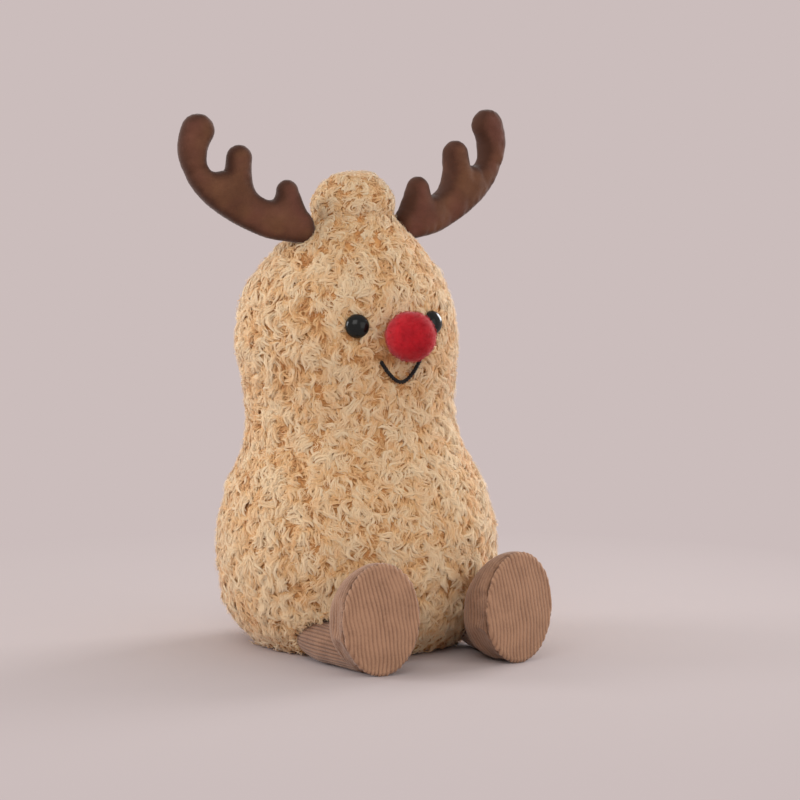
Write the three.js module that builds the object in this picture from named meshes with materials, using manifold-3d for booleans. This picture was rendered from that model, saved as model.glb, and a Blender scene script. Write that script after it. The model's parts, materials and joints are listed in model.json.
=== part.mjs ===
// A sitting plush reindeer in millimetres, +Z up: a peanut-shaped fur body on a weighted seat,
// two short corduroy legs with upright soles, and two stuffed antlers.
// The toy faces -Y, its own left is +X, and the origin is on the floor under the belly's axis.
import * as THREE from "three";
import { mergeVertices } from "three/addons/utils/BufferGeometryUtils.js";
import Module from "manifold-3d";

const wasm = await Module();
wasm.setup();

// Clearances: between sewn neighbours, and round a root that turns in its pocket
const seamGap = 0.3;
const turningGap = 0.5;

// Body and head: radius and height of each station of the peanut, from the seat to the crown
const seatRadius = 42;
const haunchRadius = 49;
const haunchHeight = 8;
const flankRadius = 55.8;
const flankHeight = 21;
const bellyRadius = 58;
const bellyHeight = 46;
const shoulderRadius = 52.4;
const shoulderHeight = 69;
const tuckRadius = 45.6;
const tuckHeight = 82;
const waistRadius = 42.8;
const waistHeight = 96;
const jowlRadius = 44.2;
const jowlHeight = 113;
const headRadius = 46;
const headHeight = 129;
const browRadius = 41.6;
const browHeight = 149;
const creaseRadius = 24.6;
const creaseHeight = 172;
const neckRadius = 16.3;
const neckHeight = 179.5;
const crownRadius = 17.6;
const crownHeight = 187.5;
const crownTopRadius = 9.6;
const crownTopHeight = 196.2;

// How far behind the belly's axis the waist, head, crease, neck and crown sit
const waistLean = 6;
const headLean = 9;
const creaseLean = 5;
const neckLean = 3.2;
const crownLean = 2.5;

// Fur fabric with the dense foot of its pile, and the round panel that the toy sits on
const skinWall = 2.5;
const seatSeamWidth = 2;
const seatPanelWall = 2;

// Bean pouch in the seat: two sewn rounds of cloth round a load of pellets
const pouchRadius = 32;
const pouchHeight = 22;
const pouchWall = 0.8;

// Safety eyes: a bead on a stem, held by a washer behind the fabric
const eyeRadius = 5;
const eyeDome = 4;
const eyeHeight = 136.4;
const eyeBearing = THREE.MathUtils.degToRad(22.6);
const stemRadius = 1.6;
const stemLength = 9;
const washerRadius = 5.5;
const washerWall = 1.4;

// Round felt nose, sewn on over its own ball of stuffing
const noseRadius = 10.5;
const noseHeight = 131.6;
const noseStandOff = 10;
const noseWall = 1.2;
const noseGather = 3;

// Mouth: one stitched thread in a rounded V
const mouthThread = 1.2;
const mouthHeight = 122.3;
const mouthDrop = 9;
const mouthBearing = THREE.MathUtils.degToRad(11.3);
const mouthRoundness = 2.3;

// Legs: corduroy tubes that lie on the floor and turn where they are sewn to the seat
const hipSpread = 37;
const hipSink = 0.8;
const hipRadius = 6.8;
const legRadius = 8.4;
const ankleRadius = 7.6;
const legLength = 47.5;
const legToeIn = 5;
const legWall = 1.6;
const floorClearance = 0.2;
const legDrop = THREE.MathUtils.degToRad(80);
const legLift = THREE.MathUtils.degToRad(12);

// Boots: an upright oval sole and a round-backed upper
const soleHalfWidth = 16.4;
const soleHalfHeight = 22.6;
const soleWall = 2.2;
const soleCrown = 0.9;
const bootDepth = 22;
const bootBulge = 0.13;
const bootWall = 2;
const bootSplay = THREE.MathUtils.degToRad(6.5);

// Antlers: a stuffed beam that curves outwards and up, with two round tines on its upper side
const antlerBearing = THREE.MathUtils.degToRad(7);
const antlerHeight = 172.7;
const antlerStandOff = 2.3;
const antlerSweep = THREE.MathUtils.degToRad(10);
const antlerReach = 48;
const antlerRise = 41.6;
const antlerWall = 1.2;
const antlerRootRadius = 5.8;
const beamHalfWidth = 8.3;
const beamRootShare = 0.22;
const beamNeckAt = 0.74;
const beamSlimness = 1.6;
const beamNeckHalfWidth = 5.7;
const beamTipHalfWidth = 7;
const beamHalfThickness = 5.6;
const lowerTineAt = 0.06;
const lowerTineLength = 14.4;
const lowerTineTilt = THREE.MathUtils.degToRad(-6.4);
const lowerTineHalfWidth = 5.4;
const lowerTineSwell = 1.05;
const lowerTineSharpness = 1;
const upperTineAt = 0.395;
const upperTineLength = 19.7;
const upperTineTilt = THREE.MathUtils.degToRad(4.6);
const upperTineHalfWidth = 5.4;
const upperTineSwell = 1.84;
const upperTineSharpness = 3.2;
const tineFootLimit = 1.75;
const tineHalfThickness = 4.9;

// Facets: how many sides and steps the soft forms are built with
const bodySides = 32;
const bodySteps = 20;
const beamSteps = 8;
const tineSteps = 4;
const limbSides = 12;
const antlerSides = 12;
const antlerFillSides = 8;
const threadSides = 6;
const capSteps = 3;

// Finishes
function finish(colour, roughness) {
  return new THREE.MeshStandardMaterial({ color: colour, roughness, metalness: 0 });
}
const furFinish = () => finish("#d9b382", 0.95);
const backingFinish = () => finish("#c9a77c", 0.9);
const cordFinish = () => finish("#9c7462", 0.9);
const antlerFinish = () => finish("#6b4636", 0.85);
const feltFinish = () => finish("#b01e2a", 0.8);
const beadFinish = () => finish("#101212", 0.15);
const threadFinish = () => finish("#0e0e10", 0.6);
const stuffingFinish = () => finish("#f2f0ea", 0.95);
const pouchFinish = () => finish("#e6e2d8", 0.9);
const pelletFinish = () => finish("#dcd9d0", 0.5);
const washerFinish = () => finish("#e9e9e6", 0.4);

// Turns a geometry's faces so that they point out, whichever way round it was drawn
function facingOut(geometry) {
  const position = geometry.getAttribute("position");
  const index = geometry.getIndex().array;
  const [a, b, c] = [new THREE.Vector3(), new THREE.Vector3(), new THREE.Vector3()];
  let volume = 0;
  for (let face = 0; face < index.length; face += 3) {
    a.fromBufferAttribute(position, index[face]);
    b.fromBufferAttribute(position, index[face + 1]);
    c.fromBufferAttribute(position, index[face + 2]);
    volume += a.dot(b.cross(c));
  }
  if (volume < 0) {
    geometry.setIndex(Array.from(index).reverse());
  }
  return geometry;
}

// One closed skin over a row of rings, each with the same number of points, capped at both ends
function loft(rings) {
  const sides = rings[0].length;
  const points = rings.flat();
  const index = [];
  for (let ring = 0; ring < rings.length - 1; ring += 1) {
    for (let side = 0; side < sides; side += 1) {
      const next = (side + 1) % sides;
      const near = ring * sides;
      const far = near + sides;
      index.push(near + side, near + next, far + next);
      index.push(near + side, far + next, far + side);
    }
  }
  for (const end of [0, rings.length - 1]) {
    const middle = new THREE.Vector3();
    rings[end].forEach((point) => middle.addScaledVector(point, 1 / sides));
    points.push(middle);
    for (let side = 0; side < sides; side += 1) {
      const here = end * sides + side;
      const next = end * sides + ((side + 1) % sides);
      index.push(...(end === 0 ? [points.length - 1, next, here] : [points.length - 1, here, next]));
    }
  }
  const geometry = new THREE.BufferGeometry().setFromPoints(points);
  geometry.setIndex(index);
  return facingOut(geometry);
}

// The same geometry for the other side of the toy
function mirrored(geometry) {
  return facingOut(geometry.clone().scale(-1, 1, 1));
}

// A closed geometry as a solid that can be cut and joined
function solid(geometry) {
  const bare = new THREE.BufferGeometry();
  bare.setAttribute("position", geometry.getAttribute("position").clone());
  bare.setIndex(geometry.getIndex());
  const merged = mergeVertices(bare, 1e-4);
  const vertProperties = merged.getAttribute("position").array;
  const triVerts = Uint32Array.from(merged.getIndex().array);
  return new wasm.Manifold(new wasm.Mesh({ numProp: 3, vertProperties, triVerts }));
}

// A solid as a geometry again
function surface(body) {
  const result = body.getMesh();
  const geometry = new THREE.BufferGeometry();
  const positions = new THREE.BufferAttribute(Float32Array.from(result.vertProperties), 3);
  geometry.setAttribute("position", positions);
  geometry.setIndex(Array.from(result.triVerts));
  return geometry;
}

// A named mesh from a geometry or a solid
function piece(name, shape, material) {
  const geometry = shape.isBufferGeometry ? shape : surface(shape);
  geometry.computeVertexNormals();
  const mesh = new THREE.Mesh(geometry, material);
  mesh.name = name;
  return mesh;
}

// A box between two corners, used to part a solid along a seam
function block(low, high) {
  const size = new THREE.Vector3().subVectors(high, low);
  const middle = new THREE.Vector3().addVectors(low, high).multiplyScalar(0.5);
  const box = new THREE.BoxGeometry(size.x, size.y, size.z);
  return solid(box.translate(middle.x, middle.y, middle.z));
}

// Everything between two heights, on one side of the middle seam (+1, -1) or on both (0)
function band(low, high, side = 0) {
  const reach = 2 * (bellyRadius + headRadius + headLean);
  const inner = seamGap / 2;
  return block(
    new THREE.Vector3(side > 0 ? inner : -reach, -reach, low),
    new THREE.Vector3(side < 0 ? -inner : reach, reach, high),
  );
}

// Peanut profile: x holds the radius, y the lean behind the belly's axis and z the height
const peanut = new THREE.CatmullRomCurve3([
  new THREE.Vector3(seatRadius, 0, 0),
  new THREE.Vector3(haunchRadius, 0, haunchHeight),
  new THREE.Vector3(flankRadius, 0, flankHeight),
  new THREE.Vector3(bellyRadius, 0, bellyHeight),
  new THREE.Vector3(shoulderRadius, waistLean * 0.2, shoulderHeight),
  new THREE.Vector3(tuckRadius, waistLean * 0.5, tuckHeight),
  new THREE.Vector3(waistRadius, waistLean, waistHeight),
  new THREE.Vector3(jowlRadius, (waistLean + headLean) / 2, jowlHeight),
  new THREE.Vector3(headRadius, headLean, headHeight),
  new THREE.Vector3(browRadius, headLean, browHeight),
  new THREE.Vector3(creaseRadius, creaseLean, creaseHeight),
  new THREE.Vector3(neckRadius, neckLean, neckHeight),
  new THREE.Vector3(crownRadius, crownLean, crownHeight),
  new THREE.Vector3(crownTopRadius, crownLean, crownTopHeight),
], false, "centripetal");

// Radius, lean and height of the profile at one place, moved out along its own normal,
// and straight down at the seat, which stays flat
function station(along, out = 0) {
  const here = peanut.getPoint(along);
  const run = peanut.getTangent(along);
  const normal = new THREE.Vector2(run.z, -run.x).normalize();
  const radius = here.x + out * normal.x;
  const rise = along === 0 ? -1 : normal.y;
  return { radius, lean: here.y, height: here.z + out * rise, normal };
}

// The place along the profile that has a given height, found by halving
function placeAt(height) {
  let low = 0;
  let high = 1;
  while (high - low > 1e-6) {
    const middle = (low + high) / 2;
    if (peanut.getPoint(middle).z < height) {
      low = middle;
    } else {
      high = middle;
    }
  }
  return low;
}

// A point on the skin, by its bearing from the face's middle and its height, and the way out there
function skinPoint(bearing, height, out = 0) {
  const { radius, lean, height: level, normal } = station(placeAt(height), out);
  const way = new THREE.Vector3(
    normal.x * Math.sin(bearing),
    -normal.x * Math.cos(bearing),
    normal.y,
  );
  const point = new THREE.Vector3(radius * Math.sin(bearing), lean - radius * Math.cos(bearing), level);
  return { point, way };
}

// The whole peanut as one solid, grown or shrunk by a distance; a coarser one keeps every
// second or third corner of the fine one, so it stays inside it
function peanutSolid(out, coarseness = 1) {
  const rings = [];
  for (let step = 0; step <= bodySteps; step += 1) {
    const { radius, lean, height } = station(step / bodySteps, out);
    const ring = [];
    for (let side = 0; side < bodySides; side += coarseness) {
      const bearing = (2 * Math.PI * (side + 0.5)) / bodySides;
      ring.push(new THREE.Vector3(radius * Math.sin(bearing), lean - radius * Math.cos(bearing), height));
    }
    rings.push(ring);
  }
  return solid(loft(rings));
}

// A stuffed tube along a curve in a plane, with round ends; flatness is its depth across that plane
function softTube(curve, halfWidth, halfDepth, { steps, sides, grow = 0, roundStart = true }) {
  const rings = [];
  const across = new THREE.Vector3(0, 1, 0);
  const ringAt = (along, shrink, slide) => {
    const centre = curve.getPoint(along);
    const run = curve.getTangent(along);
    const upright = new THREE.Vector3().crossVectors(run, across).normalize();
    const wide = (halfWidth(along) + grow) * shrink;
    const deep = (halfDepth(along) + grow) * shrink;
    centre.addScaledVector(run, slide);
    const ring = [];
    for (let side = 0; side < sides; side += 1) {
      const turn = (2 * Math.PI * side) / sides;
      const point = centre.clone().addScaledVector(upright, wide * Math.cos(turn));
      ring.push(point.addScaledVector(across, deep * Math.sin(turn)));
    }
    rings.push(ring);
  };
  const round = (end, from, to) => {
    const reach = halfWidth(end) + grow;
    for (let step = from; step !== to; step += Math.sign(to - from)) {
      const angle = (Math.PI / 2) * (step / (capSteps + 0.5));
      ringAt(end, Math.cos(angle), (end === 0 ? -1 : 1) * reach * Math.sin(angle));
    }
  };
  if (roundStart) {
    round(0, capSteps, 0);
  }
  for (let step = 0; step <= steps; step += 1) {
    ringAt(step / steps, 1, 0);
  }
  round(1, 1, capSteps + 1);
  return loft(rings);
}

// A round cylinder from one point towards another direction, as a cutter
function drill(start, way, radius, length, sides = 12) {
  const cylinder = new THREE.CylinderGeometry(radius, radius, length, sides);
  cylinder.translate(0, length / 2, 0);
  const turn = new THREE.Quaternion().setFromUnitVectors(new THREE.Vector3(0, 1, 0), way);
  cylinder.applyQuaternion(turn);
  return solid(cylinder.translate(start.x, start.y, start.z));
}

function blend(from, to, share) {
  return THREE.MathUtils.lerp(from, to, share);
}

// LEG, in a frame whose origin is the hip; the toy's left one, toes towards -Y
const hipHeight = legRadius + floorClearance;
const hipSeat = station(placeAt(hipHeight)).radius - hipSink;
const hip = new THREE.Vector3(hipSpread, -Math.sqrt(hipSeat ** 2 - hipSpread ** 2), hipHeight);
const ankleShare = 1 - (0.6 * bootDepth) / legLength;
const ankle = new THREE.Vector3(-legToeIn, -legLength, 0)
  .multiplyScalar(ankleShare)
  .setZ(ankleRadius - legRadius);
const legLine = new THREE.LineCurve3(new THREE.Vector3(), ankle);

// Radius of the leg along its length: narrow at the hip seam, full below it, slim at the ankle
function legSwell(along) {
  const fullness = Math.sin(Math.min(along / 0.35, 1) * (Math.PI / 2));
  return blend(hipRadius, blend(legRadius, ankleRadius, along), fullness);
}

// The leg's outer form, grown by a distance; it is a tube whose depth runs across the leg
function legForm(grow, steps = 3) {
  const rings = [];
  const run = ankle.clone().normalize();
  const across = new THREE.Vector3(1, 0, 0).addScaledVector(run, -run.x).normalize();
  const upright = new THREE.Vector3().crossVectors(across, run);
  const ringAt = (centre, radius) => {
    const ring = [];
    for (let side = 0; side < limbSides; side += 1) {
      const turn = (2 * Math.PI * (side + 0.5)) / limbSides;
      const point = centre.clone().addScaledVector(across, radius * Math.cos(turn));
      ring.push(point.addScaledVector(upright, radius * Math.sin(turn)));
    }
    rings.push(ring);
  };
  const root = hipRadius + grow;
  for (let step = capSteps; step > 0; step -= 1) {
    const angle = (Math.PI / 2) * (step / (capSteps + 0.5));
    ringAt(run.clone().multiplyScalar(-root * Math.sin(angle)), root * Math.cos(angle));
  }
  for (let step = 0; step <= steps; step += 1) {
    ringAt(legLine.getPoint(step / steps), legSwell(step / steps) + grow);
  }
  return loft(rings);
}

// The fan that a leg sweeps as it swings from its lowest to its highest, near the body
function swingFan() {
  const shares = [0.06, 0.18, 0.35, 0.6, 0.85];
  const turns = 6;
  const rings = [];
  for (let step = 0; step <= turns; step += 1) {
    const lift = blend(-legDrop, legLift, step / turns);
    const edge = (share, side) => {
      const reach = share * ankle.y;
      const width = side * (legSwell(share) + turningGap) + share * ankle.x;
      return new THREE.Vector3(width, reach * Math.cos(lift), -reach * Math.sin(lift));
    };
    const outward = shares.map((share) => edge(share, 1));
    const inward = shares.map((share) => edge(share, -1)).reverse();
    rings.push([...outward, ...inward]);
  }
  return loft(rings).translate(hip.x, hip.y, hip.z);
}

// The leg's room at one angle of its swing
function legRoom(lift) {
  const leg = legForm(turningGap, 3).applyMatrix4(new THREE.Matrix4().makeRotationX(-lift));
  return solid(leg.translate(hip.x, hip.y, hip.z));
}

// A plain barrel about the hip's axis that clears the leg at every angle, for the stuffing
function hipBarrel(side) {
  const halfWidth = legRadius + turningGap + seamGap;
  const start = new THREE.Vector3(side * hip.x - halfWidth, hip.y, hip.z);
  const reach = Math.hypot(legRadius + turningGap, legRadius + turningGap) + seamGap;
  return drill(start, new THREE.Vector3(1, 0, 0), reach, 2 * halfWidth);
}

// The room that both legs need in the skin, over their whole swing
function hipRecesses() {
  const left = solid(swingFan()).add(legRoom(-legDrop)).add(legRoom(0)).add(legRoom(legLift));
  return left.add(solid(mirrored(surface(left))));
}

// BOOT, in a frame whose origin is the middle of the sole's seam, depth towards +Y
const bootSeat = new THREE.Vector3(
  -legToeIn,
  -legLength,
  soleHalfHeight + floorClearance - hipHeight,
);
const heelDrop = bootSeat.z - ankle.z;
const bootSides = 1.5 * limbSides;

// Oval ring of the boot at a share of its depth: it swells behind the seam, then closes round the
// ankle's height, so that the toe rounds off and the heel stays on the floor
function bootRing(share, inset, lift = 0) {
  const angle = (Math.PI / 2) * share;
  const full = Math.sqrt(Math.cos(angle));
  const wide = Math.max(soleHalfWidth * full * (1 + bootBulge * Math.sin(2 * angle)) - inset, 0.2);
  const tall = Math.max(soleHalfHeight * full - inset, 0.2);
  const depth = (bootDepth - inset) * Math.sin(angle) + lift;
  const sink = heelDrop * (1 - full);
  const ring = [];
  for (let side = 0; side < bootSides; side += 1) {
    const turn = (2 * Math.PI * side) / bootSides;
    ring.push(new THREE.Vector3(wide * Math.cos(turn), depth, tall * Math.sin(turn) - sink));
  }
  return ring;
}

// The boot's upper as a round-backed dome; a positive inset makes the form inside it
function bootDome(inset, lift = 0) {
  const steps = 5;
  const rings = [];
  for (let step = 0; step <= steps; step += 1) {
    rings.push(bootRing((step / steps) * 0.97, inset, step === 0 ? lift : 0));
  }
  return loft(rings);
}

// Puts a boot geometry in the leg's frame
function inLeg(geometry) {
  return geometry.rotateZ(bootSplay).translate(bootSeat.x, bootSeat.y, bootSeat.z);
}

function legPieces(side, sideName) {
  const place = (geometry) => (side > 0 ? geometry : mirrored(geometry));
  const bootRoom = solid(inLeg(bootDome(-seamGap, -seamGap)));
  const tube = solid(legForm(0)).subtract(solid(legForm(-legWall))).subtract(bootRoom);
  const legFill = solid(legForm(-legWall - seamGap)).subtract(bootRoom);
  const ankleHole = drill(legLine.getPoint(0.4), ankle.clone().normalize(), ankleRadius - legWall,
    0.6 * ankle.length(), limbSides);
  const upper = solid(inLeg(bootDome(0)))
    .subtract(solid(inLeg(bootDome(bootWall, -bootWall))))
    .subtract(ankleHole);
  const fill = solid(inLeg(bootDome(bootWall + seamGap)));
  return [
    piece(`leg_tube_${sideName}`, place(surface(tube)), cordFinish()),
    piece(`leg_fill_${sideName}`, place(surface(legFill)), stuffingFinish()),
    piece(`boot_upper_${sideName}`, place(surface(upper)), cordFinish()),
    piece(`boot_sole_${sideName}`, place(inLeg(soleForm())), cordFinish()),
    piece(`boot_fill_${sideName}`, place(surface(fill)), stuffingFinish()),
  ];
}

// The sole: an oval of corduroy with a rounded rim and a slightly full face
function soleForm() {
  const oval = (scaleOut, depth) => {
    const ring = [];
    for (let side = 0; side < bootSides; side += 1) {
      const turn = (2 * Math.PI * side) / bootSides;
      const x = (soleHalfWidth + scaleOut) * Math.cos(turn);
      ring.push(new THREE.Vector3(x, depth, (soleHalfHeight + scaleOut) * Math.sin(turn)));
    }
    return ring;
  };
  const back = -seamGap;
  const front = back - soleWall;
  return loft([
    oval(0, back),
    oval(0.2, blend(back, front, 0.35)),
    oval(-0.5, blend(back, front, 0.8)),
    oval(-1.8, front),
    oval(-soleHalfWidth * 0.5, front - soleCrown),
  ]);
}

function legGroup(side, sideName) {
  const group = new THREE.Group();
  group.position.set(side * hip.x, hip.y, hip.z);
  group.add(...legPieces(side, sideName));
  return group;
}

// ANTLER, in a frame whose origin is its root: x outwards, z up and y through its thickness
const beamCurve = new THREE.CubicBezierCurve3(
  new THREE.Vector3(0, 0, 0),
  new THREE.Vector3(antlerReach * 0.46, 0, antlerRise * 0.155),
  new THREE.Vector3(antlerReach * 1.16, 0, antlerRise * 0.455),
  new THREE.Vector3(antlerReach * 0.92, 0, antlerRise),
);

// Half the beam's width along its length: round root, full first third, slim neck, rounder tip
function beamSwell(along) {
  const rise = Math.sin(Math.min(along / beamRootShare, 1) * (Math.PI / 2)) ** 2;
  const slimming = Math.min(along / beamNeckAt, 1) ** beamSlimness;
  const tipping = Math.max((along - beamNeckAt) / (1 - beamNeckAt), 0);
  const width = blend(blend(beamHalfWidth, beamNeckHalfWidth, slimming), beamTipHalfWidth, tipping);
  return blend(antlerRootRadius, width, rise);
}

function beamThickness(along) {
  return blend(antlerRootRadius, beamHalfThickness, Math.min(along / beamRootShare, 1));
}

// The two tines: where they leave the beam, how long they are and how they swell towards their foot
const lowerTine = {
  at: lowerTineAt,
  length: lowerTineLength,
  tilt: lowerTineTilt,
  halfWidth: lowerTineHalfWidth,
  swell: lowerTineSwell,
  sharpness: lowerTineSharpness,
};
const upperTine = {
  at: upperTineAt,
  length: upperTineLength,
  tilt: upperTineTilt,
  halfWidth: upperTineHalfWidth,
  swell: upperTineSwell,
  sharpness: upperTineSharpness,
};

// One tine: a round-ended stem that leaves the beam's middle line; its tilt is towards the head
function tineForm(tine, grow, sides) {
  const root = beamCurve.getPoint(tine.at);
  const way = new THREE.Vector3(-Math.sin(tine.tilt), 0, Math.cos(tine.tilt));
  const line = new THREE.LineCurve3(root, root.clone().addScaledVector(way, tine.length));
  const foot = (along) => Math.min(1 + tine.swell * (1 - along) ** tine.sharpness, tineFootLimit);
  const width = (along) => tine.halfWidth * foot(along);
  const depth = () => tineHalfThickness;
  return solid(softTube(line, width, depth, { steps: tineSteps, sides, grow, roundStart: false }));
}

// The whole stuffed antler, grown or shrunk by a distance
function antlerForm(grow, sides = antlerSides) {
  const beam = softTube(beamCurve, beamSwell, beamThickness, { steps: beamSteps, sides, grow });
  return solid(beam).add(tineForm(lowerTine, grow, sides)).add(tineForm(upperTine, grow, sides));
}

// Half a space on one side of the antler's seam
function antlerHalf(front) {
  const reach = 2 * (antlerReach + antlerRise);
  const seam = seamGap / 2;
  return block(
    new THREE.Vector3(-reach, front ? -reach : seam, -reach),
    new THREE.Vector3(reach, front ? -seam : reach, reach),
  );
}

// Where the antler turns: a little proud of the crease, beside the crown
function antlerRoot(side) {
  const bearing = side * (Math.PI / 2 - antlerBearing);
  return skinPoint(bearing, antlerHeight, antlerStandOff).point;
}

function antlerGroup(side, sideName) {
  const place = (geometry) => (side > 0 ? geometry : mirrored(geometry));
  const shell = antlerForm(0).subtract(antlerForm(-antlerWall, antlerFillSides));
  const fill = antlerForm(-antlerWall - seamGap, antlerFillSides);
  const group = new THREE.Group();
  group.position.copy(antlerRoot(side));
  group.rotation.z = side * antlerSweep;
  const front = shell.intersect(antlerHalf(true));
  const back = shell.intersect(antlerHalf(false));
  group.add(piece(`antler_front_${sideName}`, place(surface(front)), antlerFinish()));
  group.add(piece(`antler_back_${sideName}`, place(surface(back)), antlerFinish()));
  group.add(piece(`antler_fill_${sideName}`, place(surface(fill)), stuffingFinish()));
  return group;
}

// The round pocket that an antler's root turns in
function antlerPocket(side) {
  const pocket = new THREE.SphereGeometry(antlerRootRadius + turningGap, 12, 8);
  const root = antlerRoot(side);
  return solid(pocket.translate(root.x, root.y, root.z));
}

// EYES: a bead and stem turned as one, and the washer that holds it from inside
const eyeSeatDepth = skinWall + washerRadius ** 2 / (2 * (headRadius - skinWall)) + 2 * seamGap;

function eyeBead() {
  const profile = [new THREE.Vector2(0, -stemLength), new THREE.Vector2(stemRadius * 0.8, -stemLength)];
  profile.push(new THREE.Vector2(stemRadius, -stemLength + 1), new THREE.Vector2(stemRadius, 0));
  for (let step = 0; step <= 6; step += 1) {
    const angle = (Math.PI / 2) * (step / 6);
    const radius = step === 6 ? 0 : eyeRadius * Math.cos(angle);
    profile.push(new THREE.Vector2(radius, 0.5 + (eyeDome - 0.5) * Math.sin(angle)));
  }
  profile.splice(4, 0, new THREE.Vector2(eyeRadius * 0.94, 0));
  return closedTurning(profile, 16);
}

// A lathe whose profile starts and ends on the axis, with its seam and poles merged
function closedTurning(profile, sides) {
  const turned = new THREE.LatheGeometry(profile, sides);
  return surface(solid(facingOut(mergedBare(turned))));
}

function mergedBare(geometry) {
  const bare = geometry.clone();
  bare.deleteAttribute("normal");
  bare.deleteAttribute("uv");
  return mergeVertices(bare, 1e-4);
}

function washerRing() {
  const inner = stemRadius + seamGap;
  const profile = [
    new THREE.Vector2(inner, 0),
    new THREE.Vector2(washerRadius, 0),
    new THREE.Vector2(washerRadius, -washerWall),
    new THREE.Vector2(inner, -washerWall),
    new THREE.Vector2(inner, 0),
  ];
  return facingOut(mergedBare(new THREE.LatheGeometry(profile, 16)));
}

// Stands a turned piece on the skin at an eye, its axis along the way out
function atEye(mesh, side, out) {
  const { point, way } = skinPoint(side * eyeBearing, eyeHeight);
  mesh.position.copy(point).addScaledVector(way, out);
  mesh.quaternion.setFromUnitVectors(new THREE.Vector3(0, 1, 0), way);
  return mesh;
}

function eyePieces(side, sideName) {
  const bead = piece(`eye_${sideName}`, eyeBead(), beadFinish());
  const washer = piece(`eye_washer_${sideName}`, washerRing(), washerFinish());
  return [atEye(bead, side, seamGap), atEye(washer, side, -eyeSeatDepth)];
}

// Hole for an eye's stem through the fabric, and the room that stem and washer take inside
function stemHole(side) {
  const { point, way } = skinPoint(side * eyeBearing, eyeHeight);
  const start = point.clone().addScaledVector(way, -stemLength);
  return drill(start, way, stemRadius + seamGap, 2 * stemLength);
}

function washerRoom(side) {
  const { point, way } = skinPoint(side * eyeBearing, eyeHeight);
  const start = point.clone().addScaledVector(way, -eyeSeatDepth - washerWall - seamGap);
  return drill(start, way, washerRadius + seamGap, eyeSeatDepth, 16).add(stemHole(side));
}

// NOSE: a felt ball, gathered round an opening where it is sewn down, over a ball of stuffing
function noseBall(inset) {
  const { point, way } = skinPoint(0, noseHeight, noseStandOff);
  const ball = new THREE.SphereGeometry(noseRadius - inset, 18, 10);
  ball.rotateX(Math.PI / 2 - Math.asin(way.z));
  return solid(ball.translate(point.x, point.y, point.z));
}

function nosePieces() {
  const faceRoom = peanutSolid(seamGap);
  const { point, way } = skinPoint(0, noseHeight, -skinWall);
  const gather = drill(point, way, noseGather, noseStandOff);
  const cover = noseBall(0).subtract(noseBall(noseWall)).subtract(gather).subtract(faceRoom);
  const fill = noseBall(noseWall + seamGap).subtract(faceRoom);
  return [piece("nose_cover", cover, feltFinish()), piece("nose_fill", fill, stuffingFinish())];
}

// MOUTH: a thread laid on the face in a rounded V
function mouthStitch() {
  const lift = mouthThread / 2 + seamGap + 0.2;
  const points = [];
  const count = 9;
  for (let step = 0; step < count; step += 1) {
    const across = blend(-1, 1, step / (count - 1));
    const depth = 1 - Math.abs(across) ** mouthRoundness;
    points.push(skinPoint(across * mouthBearing, mouthHeight - mouthDrop * depth, lift).point);
  }
  const curve = new THREE.CatmullRomCurve3(points);
  const rings = [];
  const steps = 20;
  for (let step = 0; step <= steps; step += 1) {
    const centre = curve.getPoint(step / steps);
    const run = curve.getTangent(step / steps);
    const side = new THREE.Vector3(0, -1, 0).cross(run).normalize();
    const front = new THREE.Vector3().crossVectors(run, side);
    const ring = [];
    for (let corner = 0; corner < threadSides; corner += 1) {
      const turn = (2 * Math.PI * corner) / threadSides;
      const point = centre.clone().addScaledVector(side, (mouthThread / 2) * Math.cos(turn));
      ring.push(point.addScaledVector(front, (mouthThread / 2) * Math.sin(turn)));
    }
    rings.push(ring);
  }
  return piece("mouth_stitch", loft(rings), threadFinish());
}

// POUCH: a flattened round bag, grown or shrunk by a distance, on the seat panel
const pouchFloor = seatPanelWall + seamGap;

function pouchForm(grow) {
  const profile = [];
  const steps = 8;
  const half = pouchHeight / 2 + grow;
  for (let step = 0; step <= steps; step += 1) {
    const angle = blend(-Math.PI / 2, Math.PI / 2, step / steps);
    const onAxis = step === 0 || step === steps;
    const radius = onAxis ? 0 : (pouchRadius + grow) * Math.cos(angle) ** 0.6;
    profile.push(new THREE.Vector2(radius, half * Math.sin(angle)));
  }
  const turned = new THREE.LatheGeometry(profile, 20).rotateX(Math.PI / 2);
  turned.translate(0, 0, pouchFloor + pouchHeight / 2);
  return solid(facingOut(mergedBare(turned)));
}

function pouchPieces() {
  const shell = pouchForm(0).subtract(pouchForm(-pouchWall));
  const middle = pouchFloor + pouchHeight / 2;
  const top = pouchFloor + pouchHeight + skinWall;
  const lower = shell.intersect(band(0, middle - seamGap / 2));
  const upper = shell.intersect(band(middle + seamGap / 2, top));
  return [
    piece("bean_pouch_lower", lower, pouchFinish()),
    piece("bean_pouch_upper", upper, pouchFinish()),
    piece("bean_pellets", pouchForm(-pouchWall - seamGap), pelletFinish()),
  ];
}

// SKINS: the fur fabric in left and right halves at body and head, and the crown's cap
const waistSeam = waistHeight;
const crownSeam = creaseHeight;
const overTop = crownTopHeight + skinWall;

// The room that the seat panel takes, up to a height
function seatRoom(height) {
  const start = new THREE.Vector3(0, 0, -skinWall);
  const radius = seatRadius - seatSeamWidth + seamGap;
  return drill(start, new THREE.Vector3(0, 0, 1), radius, height + skinWall, bodySides);
}

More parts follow.
